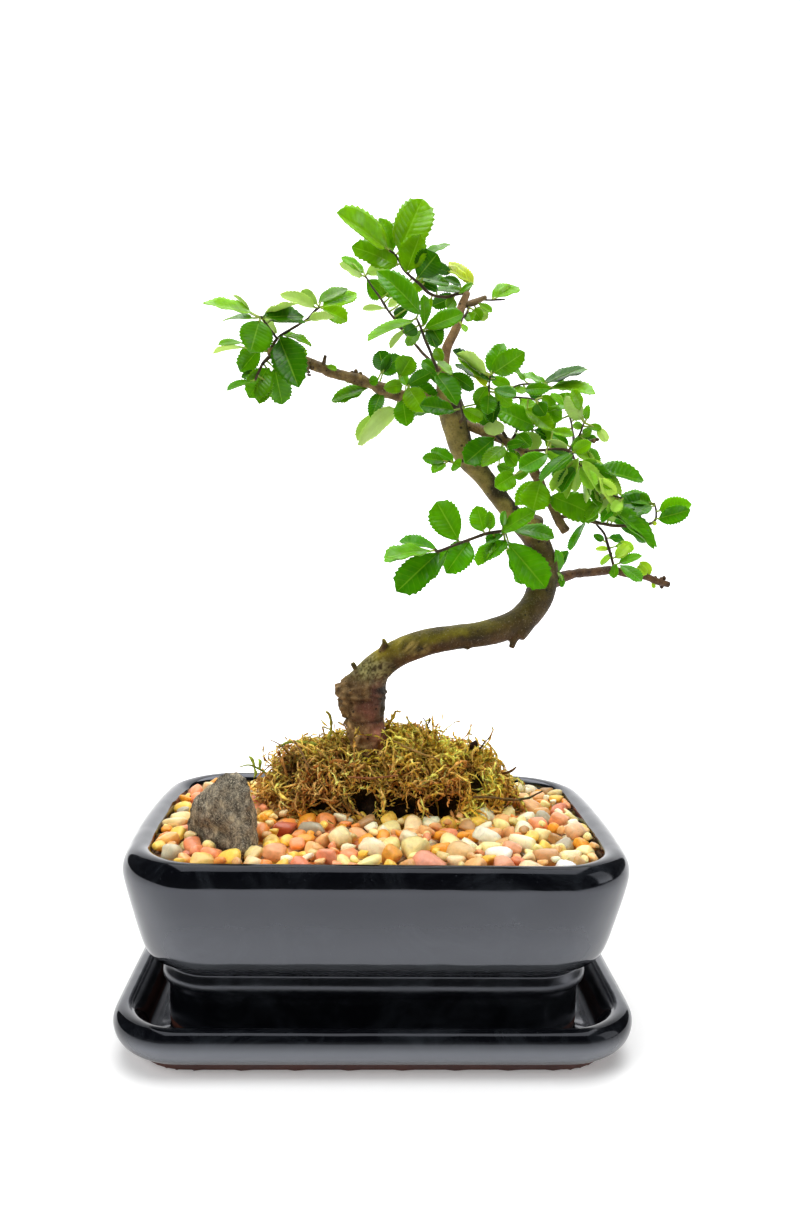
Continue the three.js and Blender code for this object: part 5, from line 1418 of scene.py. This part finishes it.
# %% The left branch
grow("branch_left", seed=100, paths=[
    [(31, 256.6, 0, 3.2), (20, 258.8, -1, 3), (6.5, 261.5, -2, 2.9), (-1.5, 264, -3, 2.7),
     (-8, 266.5, -4, 2.4), (-17.5, 269, -6, 2.3), (-24, 270.5, -7, 2.2), (-28.5, 272.5, -8, 2.1),
     (-35.5, 275, -9, 2), (-43.5, 277, -11, 1.9), (-51, 278.5, -12, 1.6)],
    [(-27.5, 272, -8, 1.2), (-26, 277.5, -10, 0.8)],
    [(-50.6, 278.5, -12, 1), (-47, 284, -11, 0.8), (-41.5, 288, -9, 0.7), (-35, 292, -7, 0.7),
     (-29, 298, -4, 0.6)],
    [(-47, 284, -11, 0.7), (-54.5, 293, -16, 0.6)],
    [(-48.8, 278, -11.6, 1.1), (-53.5, 272.5, -15, 0.7), (-56.5, 266, -18, 0.6)],
], knots=[
    (-14.2, 270.4, -5, 1.2), (-12.4, 271, -5, 1.4), (-10.4, 270.2, -5, 1.3), (-8.8, 268.6, -4, 1.1),
    (-33.6, 272.4, -10, 1.6), (-31.8, 271.8, -10, 1.3), (-33.3, 270.2, -9, 0.8), (-33.1, 268.9, -9, 0.6),
], leaves=[
    (-58.5, 294.5, -79, 298, 4.5, "b"), (-58, 292.5, -70.5, 291, 2, "b"),
    (-55, 292.5, -58.5, 278, 14, "b", -5, -1), (-52.5, 293, -35.5, 294, 6, "d"),
    (-62.5, 282, -72.5, 281, 2, "b"), (-54.5, 280, -63, 269.5, 8.5, "b", -4, -1),
    (-57.5, 267, -68.5, 261.5, 2.5, "b"), (-51, 271.5, -59, 258.5, 11, "b", -5, 0),
    (-48, 271.5, -44.5, 256, 9.5, "b"), (-46, 284, -37.5, 263.5, 14.5, "d", -6, -4),
    (-44.5, 284, -37.5, 280.5, 1.5, "b"), (-30.5, 298.5, -46, 303, 4.5, "p"),
    (-30, 299.5, -13, 304, 5.5, "b"), (-29.5, 298.5, -17, 292.5, 7, "b"), (-35, 292, -22.5, 294, 3.5, "p"),
    (-26.5, 273.5, -21, 271.5, 2, "b"), (-2, 271, 6.5, 278, 8, "d", 3, 2),
    (6.5, 269.5, 11.5, 278, 9.5, "b", -3, -1), (-9.5, 269.5, -18, 267, 4.5, "d"),
    (-8, 264, -23.5, 258.5, 5, "b"), (-1.5, 262, -5.5, 251, 6.5, "d"), (5, 255.5, -11.5, 239.5, 8.5, "p"),
    (8, 259, 10, 248, 9, "b", -4, -2), (7.5, 266, -0.5, 264.5, 6, "b", -3, -3),
    (10, 266, 20, 271.5, 6.5, "d", -4, -2), (10.5, 264.5, 17.5, 254.5, 9.5, "b", -5, -3),
], more=[
    (-0.5, 271.5, -2.5, 279, 6.5, "d", 3, 2), (-7, 267, -3.5, 268, 3.5, "b", -1, -2),
    (-59, 295, -65, 301, 1.5, "p", 2, 2), (-53, 293.5, -40.5, 298.5, 1.5, "p", -3),
    (-45.5, 286, -34, 282, 1.5, "b", -2, 2), (-61.5, 280, -73, 277.5, 1, "p", 2, 2),
    (-47.5, 286.5, -53, 292, 2.5, "p", 3, 2), (-45, 283.5, -36.5, 276, 5, "b", -4),
    (-53.5, 279, -62, 278, 3, "b"), (-56, 269.5, -61.5, 267.5, 3, "d", -3, 2),
    (11, 268, 21, 260.5, 6, "d", -3), (-30, 299, -36, 304, 4, "p", -3, 2),
    (-29, 300, -18.5, 305, 3.5, "b", 3, 2), (9.5, 265.5, 7, 271, 3.5, "b"),
    (-3, 253.5, -10.5, 243, 3.5, "p"), (-9.5, 263, -21, 258.5, 4, "b"), (-50, 292, -37, 291.5, 3.5, "d"),
    (-51, 266, -54, 257.5, 5.5, "b", -3), (21, 254.5, 12, 253, 2.5, "b"),
])

# %% The inner left twig
grow("twig_inner_left", seed=107, paths=[
    [(25.6, 268, -2, 1), (21, 277, -8, 0.8), (15.5, 289.5, -13, 0.7), (13, 294.5, -15, 0.6)],
], leaves=[
    (14.5, 297, -4.5, 314, 9.5, "b", -5, -1), (16.5, 290, 33.5, 297, 8, "b", -5),
    (20, 290.5, 24.5, 284, 8, "d", -4), (17.5, 289.5, 22, 282, 4.5, "d", -6),
    (11, 293.5, -8, 284.5, 5, "b", -6), (14, 291.5, 8, 288, 5.5, "d", -3),
], more=[
    (22.5, 272, 17, 276, 4, "d"), (15, 289.5, 10, 283.5, 3, "b", -3), (16.5, 291.5, 16, 303, 4, "b", -3),
    (24, 266.5, 19, 272, 3, "d", -3),
])

# %% The upper left twig
grow("twig_upper_left", seed=114, paths=[
    [(25.4, 272, 2, 1), (18, 278, 5, 0.9), (13, 283, 7, 0.8), (7, 289.5, 9, 0.7), (-0.5, 299.5, 11, 0.7),
     (-4.5, 305, 13, 0.6), (-9.5, 311.5, 15, 0.5)],
], leaves=[
    (-9.5, 313, -21, 316.5, 5, "p", 4), (-9, 312.5, -1, 303.5, 9.5, "b", 4),
    (-1, 297.5, -10.5, 297.5, 3, "p"), (10, 303.5, 0.5, 299, 3, "p", 5), (10, 299.5, 3.5, 294.5, 5, "d", 4),
    (2.5, 306, -3, 312, 3.5, "b", 3),
], more=[
    (-9, 312.5, -0.5, 316, 5, "p"), (2, 303, -2, 309, 4, "b", -3), (9.5, 290, 3, 282.5, 1.5, "p", 2, 1),
    (11.5, 289, 5.5, 291, 2.5, "d"), (24, 273.5, 29.5, 268, 4, "b", 3, 2),
    (-10, 313.5, -18.5, 318.5, 3, "b", -3),
])

# %% The top left twig
grow("twig_top_left", seed=121, paths=[
    [(35.2, 306.6, 5, 1.2), (30, 305.4, 4, 0.9), (25.5, 304, 3, 0.9), (19.5, 305, 2, 0.8),
     (13.5, 309.5, 1, 0.8), (7, 315, 0, 0.7), (3.5, 320.5, -1, 0.7), (0.5, 323, -2, 0.5)],
], leaves=[
    (1.5, 324, -22, 338, 9.5, "b"), (5, 322.5, 14.5, 344.5, 15.5, "b", 5),
    (4, 316.5, -15.5, 324, 10, "b", -5), (8.5, 314.5, 14, 330, 12, "b", -4, -2),
    (15.5, 321, 27, 326.5, 3.5, "b", 4, 3), (13.5, 312, 21.5, 322, 12.5, "d", -5, -2),
    (35.5, 310.5, 25, 317, 3.5, "y", 3), (13, 311.5, 27, 309.5, 5, "b", 5, 3),
    (32.5, 306.5, 19.5, 306.5, 3.5, "b", 4, 3), (32, 309.5, 24.5, 312, 3.5, "d", -3, -2),
    (29.5, 303, 26.5, 299, 5, "b", -2), (31.5, 306, 37.5, 310, 2.5, "b", -4, -3),
], more=[
    (29.5, 304, 21, 300.5, 5, "d"), (19.5, 303.5, 17.5, 297, 3, "b"), (37.5, 310, 28, 317.5, 4.5, "y"),
    (6.5, 306.5, 12, 302, 3.5, "b", -3), (19.5, 317, 26.5, 314.5, 4, "d"),
    (17, 311, 11, 306.5, 4, "b", 3, 4), (-0.5, 321, -6, 317.5, 3.5, "b", -3),
    (2, 323, -3, 334.5, 4.5, "b", -3), (22, 306.5, 16, 309, 3, "d", -3),
])

# %% The top right twig
grow("twig_top_right", seed=128, paths=[
    [(32.8, 300.5, 3, 1.5), (38, 302.2, 5, 1.4), (43, 304.5, 7, 1.1)],
    [(41, 303, 6, 0.6), (51.5, 304, 10, 0.5)],
    [(36, 301.6, 4.5, 0.8), (34.6, 297, 1, 0.6), (32, 293.6, -2, 0.5)],
], leaves=[
    (46, 304, 57.5, 309, 5, "b", 4), (39, 301.5, 46, 298, 3, "b"), (38, 299, 41.5, 294.5, 5.5, "b"),
    (34.5, 299, 37, 294, 5, "b", -4), (31.5, 293, 35, 289.5, 2.5, "b", -3),
], more=[
    (38.5, 299.5, 43.5, 296, 4.5, "p", -3, 2), (46, 304, 52, 309.5, 3.5, "b"),
])

# %% The twig at the trunk's top
grow("twig_trunk_top", seed=135, paths=[
    [(33, 250, -2, 1), (34.6, 253, -8, 0.8), (32.6, 259, -11, 0.7), (29, 268, -12, 0.7),
     (25, 274, -13, 0.6)],
], leaves=[
    (31, 255.5, 15.5, 257.5, 7, "d", -3, -1), (22.5, 271, 32, 258, 7, "d", -7, -2),
    (34, 257.5, 43.5, 252, 6, "b", -4), (29, 271, 39, 264.5, 6, "d", 3), (23, 276.5, 29, 270.5, 3, "b", -4),
    (40.5, 259, 46, 249.5, 7, "d", 2),
], more=[
    (24.5, 276, 22.5, 281.5, 3.5, "b", 3, 2),
])

# %% The hanging branch
grow("branch_hanging", seed=142, bark=0.9, paths=[
    [(32.6, 249.4, 0, 2.6), (40, 248, -1, 2.3), (50.5, 244, -4, 2.2), (62.5, 238, -7, 2.1),
     (68, 228, -8, 2.1), (73, 218, -9, 2), (78, 210, -9, 2), (82, 204, -8, 1.9)],
    [(52.5, 242, -5, 0.8), (47, 248, -9, 0.6)],
    [(55.5, 242, -5, 0.9), (48, 253.5, -9, 0.7), (46, 262.5, -13, 0.6), (46, 271, -16, 0.5)],
    [(55.5, 242, -5, 0.9), (58.5, 248, -3, 0.7), (56, 255.5, 1, 0.7), (54.5, 261, 4, 0.6),
     (56.5, 266, 7, 0.5), (63, 268, 9, 0.5), (70, 268, 11, 0.5)],
    [(54.5, 261, 4, 0.6), (60, 262, 0, 0.5), (66.5, 261, -4, 0.5)],
    [(59.5, 239.5, -6.2, 0.9), (65, 243, -2, 0.7), (65.5, 249, 1, 0.6)],
], leaves=[
    (44.5, 271.5, 32, 280.5, 6, "p", -4), (46.5, 271.5, 61, 281.5, 9.5, "b", -5),
    (63, 269, 53.5, 276, 3, "b", 5), (61.5, 265.5, 73, 266, 6, "b", -4),
    (47.5, 265.5, 58, 262.5, 4.5, "d", -4), (56.5, 266, 46.5, 269.5, 5, "b", 4),
    (66, 250, 47, 257.5, 10.5, "b", -6, -4), (66.5, 261.5, 71, 254.5, 7, "d", -4),
    (62.5, 257, 74.5, 248, 7, "b", -5), (48, 251.5, 48.5, 245, 8.5, "p", -3, -2),
    (48.5, 243.5, 36, 232.5, 11, "d", -6, -3), (53, 240, 43.5, 231.5, 7, "b", -5, -4),
    (54.5, 240.5, 62, 242, 4, "d", -4, -4), (54, 238, 59, 232, 6, "b", -4, -2),
    (59, 246, 65, 240.5, 6.5, "b", -4, -6), (69, 269, 87.5, 276, 4, "d", -4),
    (73.5, 266.5, 93, 264.5, 4, "b", -6), (58, 228, 49.5, 222.5, 8.5, "b", -3, -2),
    (70, 225.5, 67, 212.5, 13, "b", -5, -3), (75, 219, 96.5, 210, 10.5, "b", -6, -4),
], more=[
    (44, 270, 31.5, 280, 3.5, "d", -4), (38.5, 272.5, 43.5, 267, 2.5, "y", -3),
    (48.5, 269.5, 42.5, 270.5, 2.5, "d", -3, 2), (45, 266.5, 40.5, 259.5, 5.5, "b", 3, 2),
    (47, 264.5, 45.5, 255.5, 5.5, "b", -3, 1), (49.5, 262, 48, 252, 4.5, "d", -3),
    (48, 264, 55, 259, 4.5, "b", 3, 2), (69, 262.5, 74.5, 258, 3.5, "b"),
    (72, 256.5, 81.5, 257.5, 2, "b", -3), (71, 257, 77.5, 253.5, 5.5, "b", -4),
    (66.5, 248, 79, 241, 4, "d", 4, -2), (64.5, 230.5, 59.5, 227, 3, "b", 3, 4),
    (58.5, 243.5, 68.5, 242.5, 7, "p", -3, 5), (40, 246.5, 34, 252.5, 3, "d", -3),
    (53.5, 241, 61.5, 238, 4.5, "d", 3, 4), (58, 238, 65.5, 233, 4, "b", 3, 5),
    (50.5, 232, 57, 230, 4, "b", 3, 4), (59.5, 261, 67.5, 254.5, 4.5, "b", -4, 5),
    (52, 257, 60, 250, 5, "d", 4, 4), (42, 251.5, 48, 245.5, 4, "d", 3, 4),
    (63.5, 265, 68.5, 262, 3.5, "d", -3), (46.5, 272.5, 51, 283.5, 5.5, "b"),
    (43.5, 270.5, 32.5, 278.5, 4.5, "b", -3), (70.5, 268, 86.5, 274, 4, "d", -3),
    (73, 266, 87, 266.5, 3, "b", -3), (55, 266.5, 61, 264.5, 2.5, "b", -3),
    (69.5, 224.5, 60.5, 216, 6, "b", -3), (44.5, 268.5, 32.5, 274.5, 3.5, "d", 3, 2),
    (71.5, 268, 61.5, 271, 2.5, "b", -3), (69, 245.5, 64, 238, 4, "b"),
])

# %% The middle right twig
grow("twig_right_middle", seed=149, paths=[
    [(62.5, 238, -8, 1), (72.5, 239.5, -12, 0.8), (82, 239, -14, 0.7), (85, 235, -16, 0.6),
     (91, 230.5, -17, 0.6), (95, 226, -18, 0.6), (101, 221, -18, 0.5), (107, 218.8, -18, 0.5)],
    [(82, 239, -14, 0.7), (84, 243.4, -11, 0.7), (83.5, 247.5, -8, 0.6), (82.5, 252, -5, 0.6),
     (80.5, 257.5, -2, 0.5)],
    [(84, 243.4, -11, 0.7), (86.5, 246, -12, 0.6), (88.5, 251.6, -14, 0.5)],
], knots=[
    (91.4, 243.4, -13, 1.3), (93, 243.9, -13, 1.6), (94.4, 244.4, -13, 1.1),
], leaves=[
    (87, 253.5, 80, 263, 7, "p", 4), (80, 259, 73, 264, 3.5, "b", 3), (89.5, 253, 90, 259.5, 3, "b"),
    (88.5, 250, 96.5, 249.5, 3, "b"), (85.5, 246.5, 92, 249, 4, "b", -4),
    (84.5, 239, 92, 243, 5.5, "b", -5), (72.5, 237.5, 60, 230.5, 8, "b", -5, -2),
    (83, 238, 70, 226, 5, "d", -9, -3), (86.5, 233.5, 79.5, 221, 5, "d", -5),
    (86.5, 233.5, 85.5, 221, 5.5, "p", 3), (87, 234.5, 93.5, 222.5, 6, "l", -6),
    (87, 235, 95, 233, 5, "b", 4), (96, 231, 116, 226.5, 5.5, "b", 5, 4),
    (83.5, 231, 75.5, 222.5, 5.5, "l", 5, 5), (94.5, 228.5, 104.5, 221, 6, "l", -5),
    (107.5, 219, 102.5, 213, 4.5, "l", -4), (96, 223, 105, 218, 5.5, "p", 5, 3),
    (95, 228.5, 103.5, 224, 4, "b", -3),
], more=[
    (74, 247.5, 82.5, 246, 3, "b", -3), (81.5, 241.5, 75, 245.5, 3.5, "d", 3, 4),
    (72.5, 243.5, 80.5, 240, 2.5, "p", -3, 1), (73, 240, 81.5, 237.5, 3, "b"),
    (71.5, 238.5, 77.5, 236, 3.5, "l", 3, 4), (84.5, 252.5, 80.5, 263, 4, "b", -3),
    (88, 250, 84, 250.5, 2.5, "b", -3, 2), (94.5, 249.5, 98.5, 244.5, 3, "p", -2, 0),
    (88.5, 244, 93.5, 245, 2, "d", 0, 0), (83.5, 238.5, 90, 245.5, 5, "b", 3, 2),
    (90.5, 241, 94.5, 233.5, 3, "b", -3, 2), (87, 234.5, 98.5, 225, 6, "b", -3),
    (92, 233, 103, 222.5, 5, "b", 4, 5), (93, 227.5, 97, 218, 3.5, "l", -3, 6),
    (89.5, 227.5, 95, 217, 3, "b", -3, 4), (88.5, 232, 90.5, 218.5, 3, "p", -3),
    (96.5, 231, 105, 221.5, 3.5, "l", -4, 6), (81, 231, 79, 222, 4, "l", -3, 6),
    (84, 237, 76.5, 228.5, 3.5, "b", -3, 6), (96, 222.5, 104.5, 216, 6, "p", -3, 4),
    (94, 219, 102, 209.5, 5, "p", 3, 5), (102.5, 215, 98.5, 209, 3.5, "d", -3),
    (107, 218.5, 102, 212, 5, "l", -3, 4), (76, 252.5, 71, 246.5, 4, "b", 3, 4),
    (77, 263.5, 84, 257, 4.5, "b", 3, 4), (87, 257, 83, 265, 3.5, "b", -3),
    (85, 239.5, 92.5, 235.5, 3.5, "l", -3), (103, 213.5, 121, 200, 4, "b"),
    (92.5, 234.5, 99, 229.5, 3, "l", 3, 4), (78, 248, 72.5, 242, 3.5, "b", 3, 4),
    (98, 218, 92.5, 210, 3.5, "b", -3, 5), (86.5, 235.5, 82.5, 220.5, 4, "l", 3, -2),
    (88.5, 234.5, 96, 222.5, 4, "l", -3, -2), (96.5, 227.5, 102.5, 217.5, 4, "l", 3, -2),
    (81, 231.5, 76, 222.5, 3.5, "l", -3, 1),
])

# %% The right branch
grow("branch_right", seed=156, bark=(0.46, 0.31, 0.25), paths=[
    [(72.4, 180, 3, 3), (78.5, 181, 5, 2.7), (81, 183, 6, 2.3), (88.5, 185, 8, 2.1), (95.5, 185.5, 10, 2),
     (102.5, 186.5, 12, 1.9), (108, 186, 13, 1.8), (118.5, 184, 14, 1.7), (125, 182, 15, 1.5),
     (129.5, 180.5, 16, 1.3)],
    [(105, 186.5, 12.5, 0.9), (101, 198.5, 15, 0.8), (99, 203.5, 16, 0.7), (95.5, 207.5, 17, 0.6)],
], knots=[
    (123.6, 183, 15, 2.3), (126, 182, 16, 2.6), (127.4, 183.6, 16, 1.5), (126.4, 180, 16, 1.5),
    (128.6, 181.4, 16, 1.5), (119, 185.2, 14, 1.8),
], leaves=[
    (101, 199, 94.5, 202.5, 3.5, "d"), (105, 192.5, 110.5, 198.5, 5.5, "y", 3),
    (107, 190, 117, 193.5, 4.5, "b", -4), (107.5, 189, 117.5, 182, 6, "b", -6, -3),
    (105.5, 189.5, 104.5, 183, 4, "b", -3, -2.5), (115.5, 189, 119.5, 185, 4, "y", -3, -3),
    (79.5, 185.5, 78, 195.5, 5, "b", -5, -3), (80.5, 185, 81, 178.5, 2.5, "b", -4, -4),
], more=[
    (99.5, 201, 107.5, 200, 3, "d", 3, 1), (105, 197.5, 112, 196.5, 5, "y"),
    (103.5, 194.5, 99.5, 189.5, 2.5, "y", -3, 2), (101.5, 196, 96.5, 196, 2, "y"),
    (116, 190.5, 120.5, 186, 4.5, "y", -3), (121, 182.5, 123, 179.5, 1.5, "y", 1, 0),
    (79.5, 185.5, 82.5, 194, 3.5, "d", 3, 2), (79, 182, 75, 186.5, 4, "b", 3, -3),
    (80.5, 180.5, 76.5, 185, 2.5, "p", -3, -4),
])

# %% The low right twig
grow("twig_right_low", seed=163, paths=[
    [(78.4, 209.6, -9, 1.2), (82, 210.5, -10, 1.1), (90.5, 209, -12, 1), (98, 207.5, -13, 0.9),
     (104.5, 206.5, -13, 0.9), (114.5, 207, -12, 0.8), (121.5, 208.5, -11, 0.7), (122.4, 213, -10, 0.6),
     (121.5, 217, -9, 0.5)],
], leaves=[
    (122, 218, 106, 220, 5.5, "b", 6), (121, 216, 110.5, 210.5, 5, "b", -5),
    (121, 210, 138, 214.5, 8, "b", -5), (101.5, 213.5, 122.5, 197, 6, "b", -7, -3),
    (90.5, 208, 84.5, 195, 3, "b", -5),
], more=[
    (120, 216.5, 107, 216.5, 5.5, "d", -3), (119, 208, 122.5, 208, 1.5, "y", 0, 0),
    (121, 213, 136, 216.5, 7, "b", -5, 1), (102.5, 209, 116, 200.5, 3, "b"),
])

# %% The lower left twig
grow("twig_lower_left", seed=170, paths=[
    [(63, 206, 3, 1.3), (54.5, 203.5, -5, 1), (46, 201.5, -9, 0.9), (39, 199, -12, 0.8),
     (26.5, 194, -17, 0.7), (23.5, 194, -19, 0.6)],
], leaves=[
    (34, 199, 24, 215.5, 13.5, "b", 5), (23.5, 194.5, 1, 190, 6.5, "b", -6),
    (26.5, 193.5, 7, 175, 13, "b", -6), (40, 197.5, 29, 184, 11.5, "b", -5),
    (45.5, 202, 42, 214, 9, "b", 4), (48, 202, 47.5, 212, 4.5, "b", -3),
    (53.5, 203.5, 54.5, 212, 3.5, "b", -4), (53.5, 203, 68.5, 212.5, 7.5, "b", -7, -3),
    (58, 203.5, 77, 201, 5, "b", -8, -4), (54, 201.5, 46.5, 198, 3.5, "b", -4),
    (55, 199, 46, 189.5, 7, "b", -5), (56.5, 197.5, 74, 178, 14, "b", -6, -4),
], more=[
    (56, 195, 62, 181.5, 4.5, "b", -3), (50.5, 198.5, 44, 189, 4, "b", -3),
    (29.5, 194.5, 23, 182.5, 4, "b", -3), (24, 194.5, 10, 197.5, 3.5, "b"),
    (17, 192.5, 3.5, 189, 3.5, "b", -3),
])

# %% The small twig in the middle
grow("twig_middle", seed=177, paths=[
    [(38, 235.4, 0, 1), (33, 233, -4, 0.8), (28.5, 233.3, -7, 0.6)],
], leaves=[
    (27.5, 233.5, 17, 234.5, 5, "b", -3), (28.5, 233, 21.5, 228, 4, "b", -5),
    (29.5, 232.5, 34, 231, 6, "b", -4),
], more=[
    (30.5, 233.5, 22, 237.5, 3.5, "b"),
])

# %% [markdown]
# Two cuts were left by the saw: the end of the hanging branch and the stub above the second
# bend. A fresh cut is pale wood with a darker ring of bark and a small pith.

# %% Cut ends
CUT = (  # place along the cut stub, share of its radius, and tone: bark, pale wood and pith
    (-0.6, 1.0, "#3a2a1a"), (0.12, 1.02, "#4a3522"), (0.3, 0.9, "#c9a076"),
    (0.28, 0.55, "#d8b48a"), (0.2, 0.22, "#b98d62"), (0.05, 0.12, "#5e4226"),
)
CUT_SIDES = 18


def cut_end(name, start, end, radius, node):
    foot, top = (seen(u, v, DEEP * depth) for u, v, depth in (start, end))
    way = unit(top - foot)
    side = unit(np.cross(way, (0.1, 1, 0.2)))
    rings = [circle(top + way * along, radius * wide, side, np.cross(way, side), CUT_SIDES)
             for along, wide, _ in CUT]
    last = len(CUT) * CUT_SIDES
    faces = ring_faces(len(CUT), CUT_SIDES) + [list(range(last - CUT_SIDES, last))]
    corners = np.vstack(rings)
    tones = np.repeat([linear(tone)[:3] for _, _, tone in CUT], CUT_SIDES, axis=0)
    tones = tones * (1 + 0.25 * uneven(corners, 0.9, 97))[:, None]
    dress(joined(name, [(corners, faces, tones)]), twig_bark, [node])


cut_end("hanging_branch_cut", start=(78, 210, -9), end=(82, 204, -8), radius=1.9, node="branch_hanging")
cut_end("old_stub_cut", start=(66.4, 202, 3), end=(69.2, 209.2, 1), radius=2.5, node="trunk")

# %% [markdown]
# A few things stand out of the moss: a withered twig with a curled dead leaf at the right,
# green shoots of a taller moss beside the trunk, a small fern frond at the left, and straws
# that lie across it. Each is drawn as it is seen, like the tree.

# %% Strays in the moss
STRAYS = [  # tone, then places with depth and radius
    ("#3d251c", [(38, 95, 4, 0.6), (41.5, 101, 2, 0.45), (46, 104, 0, 0.4), (51, 110, -1, 0.25)]),
    ("#3d251c", [(41, 101, 2, 0.5), (43.5, 98, 0, 0.45), (48, 93, -1, 0.5), (50, 90, -1, 0.3)]),
    ("#33201a", [(39.6, 99, 2, 0.7), (41, 101.6, 2, 1.3), (42.4, 103.6, 2, 1), (43.4, 105.4, 1.4, 1.6),
                 (44.6, 106.8, 1, 1.4), (44.8, 108, 1, 0.5)]),
    ("#6a4a26", [(57, 93, 0, 0.5), (61, 94, -3, 0.6), (63.6, 96.4, -4, 0.3)]),
    ("#b3ae4a", [(-22, 108, 0, 0.8), (-21, 113, 0, 0.7), (-21.6, 118, -1, 0.8), (-23.4, 120.4, -2, 0.5)]),
    ("#b9b252", [(-21, 112, 0, 0.4), (-24.6, 113.4, -1, 0.35)]),
    ("#b5ae48", [(-18, 106, 0, 0.6), (-16, 111, -1, 0.6), (-14, 112, -2, 0.35)]),
    ("#b0a948", [(21, 109, 0, 0.55), (15.6, 114.6, 0, 0.5), (12.6, 118.4, 0, 0.3)]),
    ("#4b3a20", [(24, 110, 1, 0.4), (22.4, 115, 1, 0.35), (20, 118.4, 1, 0.25)]),
    ("#4b3a20", [(22.4, 115, 1, 0.3), (23.4, 117.4, 1, 0.5), (23, 118.4, 1, 0.2)]),
    ("#93a040", [(-44, 104, 3, 0.4), (-40, 106, 2, 0.7), (-33, 106.2, 1, 0.8), (-26, 105, 0, 0.5)]),
    ("#8b7540", [(-40, 101, 2, 0.4), (-43.6, 104.4, 1, 0.35), (-48.6, 107.4, 1, 0.2)]),
    ("#8ca43c", [(-50, 92, 2, 0.4), (-57, 95.4, 1, 0.45), (-62.4, 94.4, 1, 0.2)]),
    ("#a3bb48", [(-55, 94.4, 1, 0.5), (-56.6, 98.4, 1, 0.8), (-58, 99.6, 1, 0.2)]),
    ("#9cb444", [(-53, 93.4, 1, 0.5), (-52.6, 97, 1, 0.8), (-53.6, 98.4, 1, 0.2)]),
    ("#a6bd4e", [(-55.6, 94.6, 1, 0.4), (-54.6, 91.6, 1, 0.8), (-55.6, 89.6, 1, 0.2)]),
    ("#8c5c3a", [(-13, 90.6, -15, 0.45), (-4, 90, -15.4, 0.5), (10, 91.4, -15.6, 0.35)]),
    ("#7a5a34", [(-37.6, 107, -2, 0.4), (-34, 101, -8, 0.45), (-30.6, 94.6, -13, 0.3)]),
    ("#a5844a", [(6, 108, -4, 0.4), (17, 103, -9, 0.5), (28, 99, -11, 0.3)]),
    ("#48442c", [(58, 80.6, -12, 0.5), (68, 81.4, -14, 0.55), (76, 85, -15, 0.35)]),
    ("#6b5632", [(44, 82, -12, 0.5), (54, 81.6, -14, 0.5), (66, 80.4, -14, 0.35)]),
]
parts = []
for tint, rows in STRAYS:
    points, radii = smooth_path(rows, step=0.8)
    points = points + 0.25 * uneven_ways(points, 3, (91, 92, 93))
    corners, faces = tube(points, radii * (1 + 0.3 * uneven(points, 1.5, 94)), sides=6)
    parts.append((corners, faces, np.tile(linear(tint)[:3], (len(corners), 1))))
dress(joined("moss_strays", parts), moss_leafy, ["moss"])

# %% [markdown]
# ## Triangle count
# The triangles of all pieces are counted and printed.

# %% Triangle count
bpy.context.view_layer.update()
solids = [piece for piece in bpy.data.objects if piece.type == "MESH"]
print("triangles:", sum(len(face.vertices) - 2 for piece in solids for face in piece.data.polygons))
